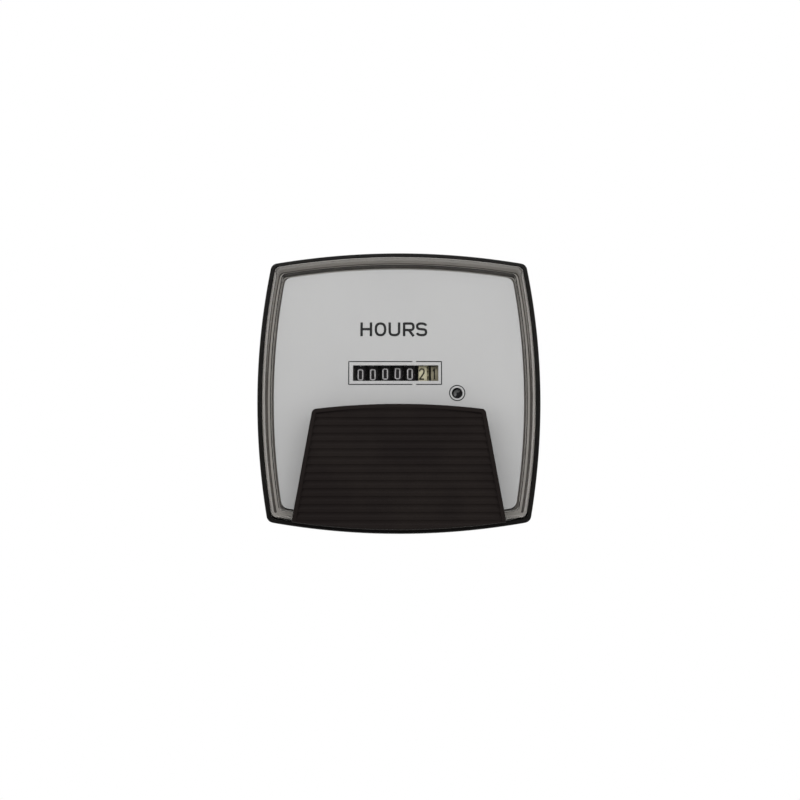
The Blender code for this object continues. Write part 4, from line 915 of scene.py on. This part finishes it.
# %% Digits
DIGIT_HALF = 0.70 * MM
DIGIT_TALL = 1.62 * MM
LIGHT_STROKE, DARK_STROKE = 0.36 * MM, 0.48 * MM
LIGHT_SHIFT, DARK_SHIFT = -0.15 * MM, -0.30 * MM  # how far they are printed off a drum's middle
TALL_OVAL = [(-1, -1), (1, -1), (1, -0.5), (1, 0.5), (1, 1), (-1, 1), (-1, 0.5), (-1, -0.5)]
NINE = [(-0.9, -0.65), (-0.9, -1), (1, -1), (1, -0.4), (1, 0.5), (1, 1), (-1, 1), (-1, -0.1), (1, -0.1)]
DIGITS = (
    [(True, TALL_OVAL)],
    [(False, [(-0.6, 0.6), (0.1, 1), (0.1, 1), (0.1, -1)])],
    [(False, [(-1, 0.5), (-1, 1), (1, 1), (1, 0.2), (0.2, -0.3), (-1, -1), (-1, -1), (1, -1)])],
    [(False, [(-1, 0.6), (-1, 1), (1, 1), (1, 0.05), (-0.2, 0.05)]),
     (False, [(-0.2, 0.03), (1, 0.03), (1, -1), (-1, -1), (-1, -0.6)])],
    [(False, [(0.5, -1), (0.5, 1), (0.5, 1), (-1, -0.4), (-1, -0.4), (1, -0.4)])],
    [(False, [(0.9, 1), (-0.85, 1), (-0.85, 1), (-0.9, 0.15), (-0.9, 0.15), (1, 0.35), (1, -1), (-1, -1),
              (-1, -0.6)])],
    [(False, [(-x, -y) for x, y in NINE])],
    [(False, [(-1, 1), (1, 1), (1, 1), (-0.2, -1)])],
    [(True, [(-0.9, 0.05), (0.9, 0.05), (0.9, 1), (-0.9, 1)]),
     (True, [(-1, -1), (1, -1), (1, 0.03), (-1, 0.03)])],
    [(False, NINE)],
)
drawn_digits = {stroke: [drawn(paths, stroke, DIGIT_HALF, DIGIT_TALL) for paths in DIGITS]
                for stroke in (LIGHT_STROKE, DARK_STROKE)}


def rolled(digit, stroke, angle):
    """Rolls a drawn digit on to the rim, its middle at an angle over the front."""
    body = drawn_digits[stroke][digit].copy()
    for vert in body.verts:
        turn = angle + vert.co.y / DRUM_RADIUS
        radius = DRUM_RADIUS + vert.co.z
        vert.co = (vert.co.x, -radius * cos(turn), radius * sin(turn))
    return body


for name, shown, stagger in zip(DRUMS, SHOWN, STAGGER):
    cream = name in cream_drums
    stroke, shift = (DARK_STROKE, DARK_SHIFT) if cream else (LIGHT_STROKE, LIGHT_SHIFT)
    numbers = bmesh.new()
    for digit in range(10):
        angle = (digit - shown) * tau / 10 + stagger * MM / DRUM_RADIUS
        add_copy(numbers, rolled(digit, stroke, angle))
    bmesh.ops.translate(numbers, vec=(shift, 0, 0), verts=numbers.verts)
    printed = plain_object(f"digits_{name}", numbers, Matrix.Identity(4), drum_axis[name])
    dress(printed, sepia_ink if cream else light_ink, f"number_wheel_{name}",
          "black_plastic" if cream else "white_plastic")

# %% [markdown]
# ## Running mark
# A small disc turns behind the round hole. One half of it is light, so a moving patch shows that the
# meter runs. The light half is a printed half-moon, cut from a disc along its diameter.

# %% Running mark
MARK_BEARING = radians(138)
disc_low, disc_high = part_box("running_disc")
DISC_FRONT, DISC_BACK = -disc_low.y, -disc_high.y
DISC_RADIUS = (disc_high.x - disc_low.x) / 2
ARBOR_HOLE = 0.75 * MM
ARBOR_TIP = -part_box("worm_arbor")[0].y
disc = turned([(0, ARBOR_TIP + DIAL_EDGE), (ARBOR_HOLE, ARBOR_TIP + DIAL_EDGE), (ARBOR_HOLE, DISC_BACK),
               (DISC_RADIUS, DISC_BACK), (DISC_RADIUS, DISC_FRONT - DIAL_EDGE),
               (DISC_RADIUS - DIAL_EDGE, DISC_FRONT), (0, DISC_FRONT)])
dress(plain_object("mark_disc", disc, FRONT, (RUN_X, 0, RUN_Y)), drum_black, "arbor", "black_plastic",
      ["running_disc"])
MOON_INNER, MOON_OUTER = 0.45 * MM, 1.3 * MM
half_moon = turned([(MOON_INNER, DISC_FRONT - INK), (MOON_OUTER, DISC_FRONT - INK),
                    (MOON_OUTER, DISC_FRONT + INK), (MOON_INNER, DISC_FRONT + INK)], closed=True)
light_side = (cos(MARK_BEARING), sin(MARK_BEARING), 0)
whole = [*half_moon.verts, *half_moon.edges, *half_moon.faces]
trimmed = bmesh.ops.bisect_plane(half_moon, geom=whole, plane_co=(0, 0, 0), plane_no=light_side,
                                 clear_inner=True)
edges = [item for item in trimmed["geom_cut"] if isinstance(item, bmesh.types.BMEdge)]
bmesh.ops.edgeloop_fill(half_moon, edges=edges)
mark_ink = ink("mark_ink", srgb(120, 120, 122), srgb(90, 90, 92))
dress(plain_object("half_moon", half_moon, FRONT, (RUN_X, 0, RUN_Y)), mark_ink, "arbor", "white_plastic")

# %% [markdown]
# ## Studs, nuts and terminals
# Four zinc-plated studs hold the meter to its panel, and two brass ones on the barrel's back take the
# wires. Their threads are real helices: a rod is spun with many rings, and each vertex is moved in by a
# wave that climbs one pitch in every turn.


# %% Metal finishes
def metal(name, bright, dull, roughness, stretch=(1.0, 1.0, 1.0)):
    """Plated or turned metal with fine drawn lines and duller patches."""
    finish = Finish(name, Metallic=1.0)
    patches = finish.noise(1.5 * MM, 4.0, 0.6)
    tool_lines = finish.noise(0.12 * MM, 2.0, 0.5, finish.stretched(*stretch))
    finish.feed("Base Color", finish.mix(patches.between(0.4, 0.75), bright, dull))
    finish.feed("Roughness", roughness + 0.15 * patches + 0.08 * tool_lines)
    finish.bump(tool_lines, 0.004 * MM, 0.5)
    return finish


zinc = metal("zinc_plate", srgb(205, 204, 196), srgb(170, 170, 166), 0.24, (1.0, 0.15, 1.0))
turned_brass = metal("turned_brass", srgb(214, 178, 104), srgb(178, 140, 78), 0.24, (1.0, 0.15, 1.0))
rolled_steel = metal("rolled_steel", srgb(188, 188, 184), srgb(150, 150, 148), 0.30, (0.1, 1.0, 1.0))


# %% Threads and nuts
RINGS_PER_PITCH = 6
HEAD_EDGE = 0.2 * MM
FLANGE_EDGE = 0.1 * MM


def threaded(radius, low, high, pitch, depth, head_radius, head_top):
    """A rod with a helical thread between two heights, under a round head with a small chamfer."""
    rings = int((high - low) / pitch * RINGS_PER_PITCH)
    profile = [(0, low), (radius - depth, low)]
    profile += [(radius, low + depth + (high - low - depth) * step / rings) for step in range(rings + 1)]
    profile += [(head_radius, high), (head_radius, head_top - HEAD_EDGE),
                (head_radius - HEAD_EDGE, head_top), (0, head_top)]
    body = turned(profile, 32)
    for vert in body.verts:
        across = hypot(vert.co.x, vert.co.y)
        if low + depth / 2 < vert.co.z < high - depth and abs(across - radius) < depth / 10:
            wave = (vert.co.z / pitch + atan2(vert.co.y, vert.co.x) / tau) % 1
            move = 1 - depth / radius * abs(2 * wave - 1)
            vert.co.x *= move
            vert.co.y *= move
    return body


def hexagon_nut(corner, thickness, hole, flange=0.0, flange_height=0.0):
    """A chamfered nut that reaches back from h = 0, on a flange if it has one."""
    body = bmesh.new()
    back = -flange_height - thickness
    face, clear_of_corners, rise = 0.90 * corner, 1.01 * corner, 0.10 * corner
    add_rod(body, 0, 0, corner, back, -flange_height, 6)
    nut = plain_object("nut", body, Matrix.Identity(4))
    chamfer = turned([(0, back), (face, back), (clear_of_corners, back + rise),
                      (clear_of_corners, -flange_height), (0, -flange_height)])
    combine(nut, "INTERSECT", chamfer, Matrix.Identity(4))
    if flange:
        collar = turned([(0, -flange_height - GAP), (face, -flange_height - GAP),
                         (flange - FLANGE_EDGE, -0.6 * flange_height), (flange, -0.4 * flange_height),
                         (flange, 0), (0, 0)])
        combine(nut, "UNION", collar, Matrix.Identity(4))
    core = bmesh.new()
    add_rod(core, 0, 0, hole, -2 * (flange_height + thickness), thickness)
    combine(nut, "DIFFERENCE", core, Matrix.Identity(4))
    return taken(nut)


# %% Mounting hardware
STUD_RADIUS, STUD_PITCH, STUD_THREAD = 1.75 * MM, 0.6 * MM, 0.25 * MM
stud_low, stud_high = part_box("mounting_stud_upper_left")
STUD_END, STUD_TOP = -stud_high.y, -stud_low.y
STUD_HEAD, STUD_SEAT = 3.5 * MM, STUD_TOP - 1.5 * MM
NUT_CORNER, NUT_TALL = 4.6 * MM, 2.8 * MM
FLANGE, FLANGE_TALL = 4.75 * MM, 0.8 * MM


def fit(name, body, node, finish, slot, on_seat=False):
    """Dresses a piece that is drawn round the z axis at its node's middle. A nut lies on its seat."""
    x, z = middle(node)
    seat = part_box(node)[0].y if on_seat else 0
    dress(plain_object(name, body, FRONT, (x, seat, z)), finish, "case", slot, [node])


for where in STUDS:
    rod = threaded(STUD_RADIUS, STUD_END, STUD_SEAT, STUD_PITCH, STUD_THREAD, STUD_HEAD, STUD_TOP)
    fit(f"panel_stud_{where}", rod, f"mounting_stud_{where}", zinc, "steel")
    nut = hexagon_nut(NUT_CORNER, NUT_TALL, STUD_HOLE, FLANGE, FLANGE_TALL)
    fit(f"panel_nut_{where}", nut, f"mounting_nut_{where}", zinc, "steel", on_seat=True)

# %% Terminals
TERMINAL_RADIUS, TERMINAL_PITCH, TERMINAL_THREAD = 2.0 * MM, 0.7 * MM, 0.28 * MM
TERMINAL_HEAD, TERMINAL_HEAD_TALL = 4.0 * MM, 2.0 * MM
HEX_CORNER, HEX_TALL = 4.0 * MM, 3.2 * MM
WASHER_RADIUS, WASHER_EDGE = 4.5 * MM, 0.1 * MM
for side in ("left", "right"):
    low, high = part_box(f"terminal_stud_{side}")
    top, end = -low.y, -high.y
    rod = threaded(TERMINAL_RADIUS, end, top - TERMINAL_HEAD_TALL, TERMINAL_PITCH, TERMINAL_THREAD,
                   TERMINAL_HEAD, top)
    fit(f"terminal_post_{side}", rod, f"terminal_stud_{side}", turned_brass, "brass")
    nut = hexagon_nut(HEX_CORNER, HEX_TALL, TERMINAL_HOLE)
    fit(f"terminal_hex_{side}", nut, f"terminal_nut_{side}", turned_brass, "brass", on_seat=True)
    washer_low, washer_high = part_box(f"terminal_washer_{side}")
    front, back = -washer_low.y, -washer_high.y
    washer = turned([(TERMINAL_HOLE, back), (WASHER_RADIUS - WASHER_EDGE, back),
                     (WASHER_RADIUS, back + WASHER_EDGE), (WASHER_RADIUS, front), (TERMINAL_HOLE, front)],
                    closed=True)
    fit(f"terminal_disc_{side}", washer, f"terminal_washer_{side}", zinc, "steel")

# %% [markdown]
# ## The movement
# The pieces inside keep their CAD shape. Each still gets the finish of what it is: rolled steel, turned
# brass, moulded nylon, a sintered magnet, enamelled wire with its turns, a lacquered board with tracks.

# %% Finishes of the movement
nylon = Finish("nylon", Roughness=0.42, Specular_IOR_Level=0.4)
nylon_clouds = nylon.noise(1.2 * MM, 3.0)
nylon.feed("Base Color", nylon.mix(nylon_clouds, srgb(226, 224, 214), srgb(208, 206, 192)))
nylon.bump(nylon.noise(0.2 * MM), 0.01 * MM, 0.4)

magnet = Finish("sintered_magnet", Metallic=0.4)
pores = magnet.noise(0.1 * MM, 3.0, 0.7)
magnet.feed("Base Color", magnet.mix(pores, srgb(62, 62, 66), srgb(88, 88, 90)))
magnet.feed("Roughness", 0.45 + 0.2 * pores)
magnet.bump(pores, 0.01 * MM, 0.5)

WIRE_WAVES = 1250.0  # a turn of wire about every quarter of a millimetre
wire = Finish("enamelled_wire", Metallic=0.8)
turns = wire.node("TexWave", {"bands_direction": "X"}, Vector=wire.place, Scale=WIRE_WAVES)
wire.feed("Base Color", wire.mix(turns, srgb(120, 52, 24), srgb(198, 110, 62)))
wire.feed("Roughness", 0.30 + 0.15 * wire.noise(0.5 * MM))
wire.bump(turns, 0.05 * MM, 0.8)

TRACK_CELLS = 380.0  # patches of copper in a metre
TRACK_GAP = 0.12
lacquer = Finish("lacquered_board", Specular_IOR_Level=0.5)
cells = lacquer.node("TexVoronoi", {"distance": "MANHATTAN", "feature": "DISTANCE_TO_EDGE"},
                     Vector=lacquer.place, Scale=TRACK_CELLS)
tracks = cells.math("GREATER_THAN", TRACK_GAP)
lacquer.feed("Base Color", lacquer.mix(tracks, srgb(22, 84, 44), srgb(40, 112, 58)))
lacquer.feed("Roughness", 0.32 + 0.15 * lacquer.noise(1.0 * MM))
lacquer.bump(tracks, 0.03 * MM, 0.6)

insulation = Finish("red_insulation", Specular_IOR_Level=0.4)
soil = insulation.noise(1.0 * MM, 3.0)
insulation.feed("Base Color", insulation.mix(soil, srgb(176, 34, 28), srgb(142, 26, 22)))
insulation.feed("Roughness", 0.4 + 0.15 * soil)
insulation.bump(insulation.noise(0.2 * MM), 0.01 * MM, 0.4)

# %% Dressing the CAD nodes
BY_SLOT = {"steel": rolled_steel, "brass": turned_brass, "white_plastic": nylon, "magnet_grey": magnet,
           "copper_wire": wire, "board_green": lacquer, "red_insulation": insulation,
           "black_plastic": case_black}
slot_of = {part["node"]: part["material_slot"] for part in frame["record"]["subparts"]}
dressed = 0
for name, node in frame["nodes"].items():
    if node.hide_render:
        continue
    finish = BY_SLOT[slot_of[name]]
    for place in node.material_slots:
        place.material = finish.material
    dressed += 1
print("CAD nodes that keep their shape:", dressed)
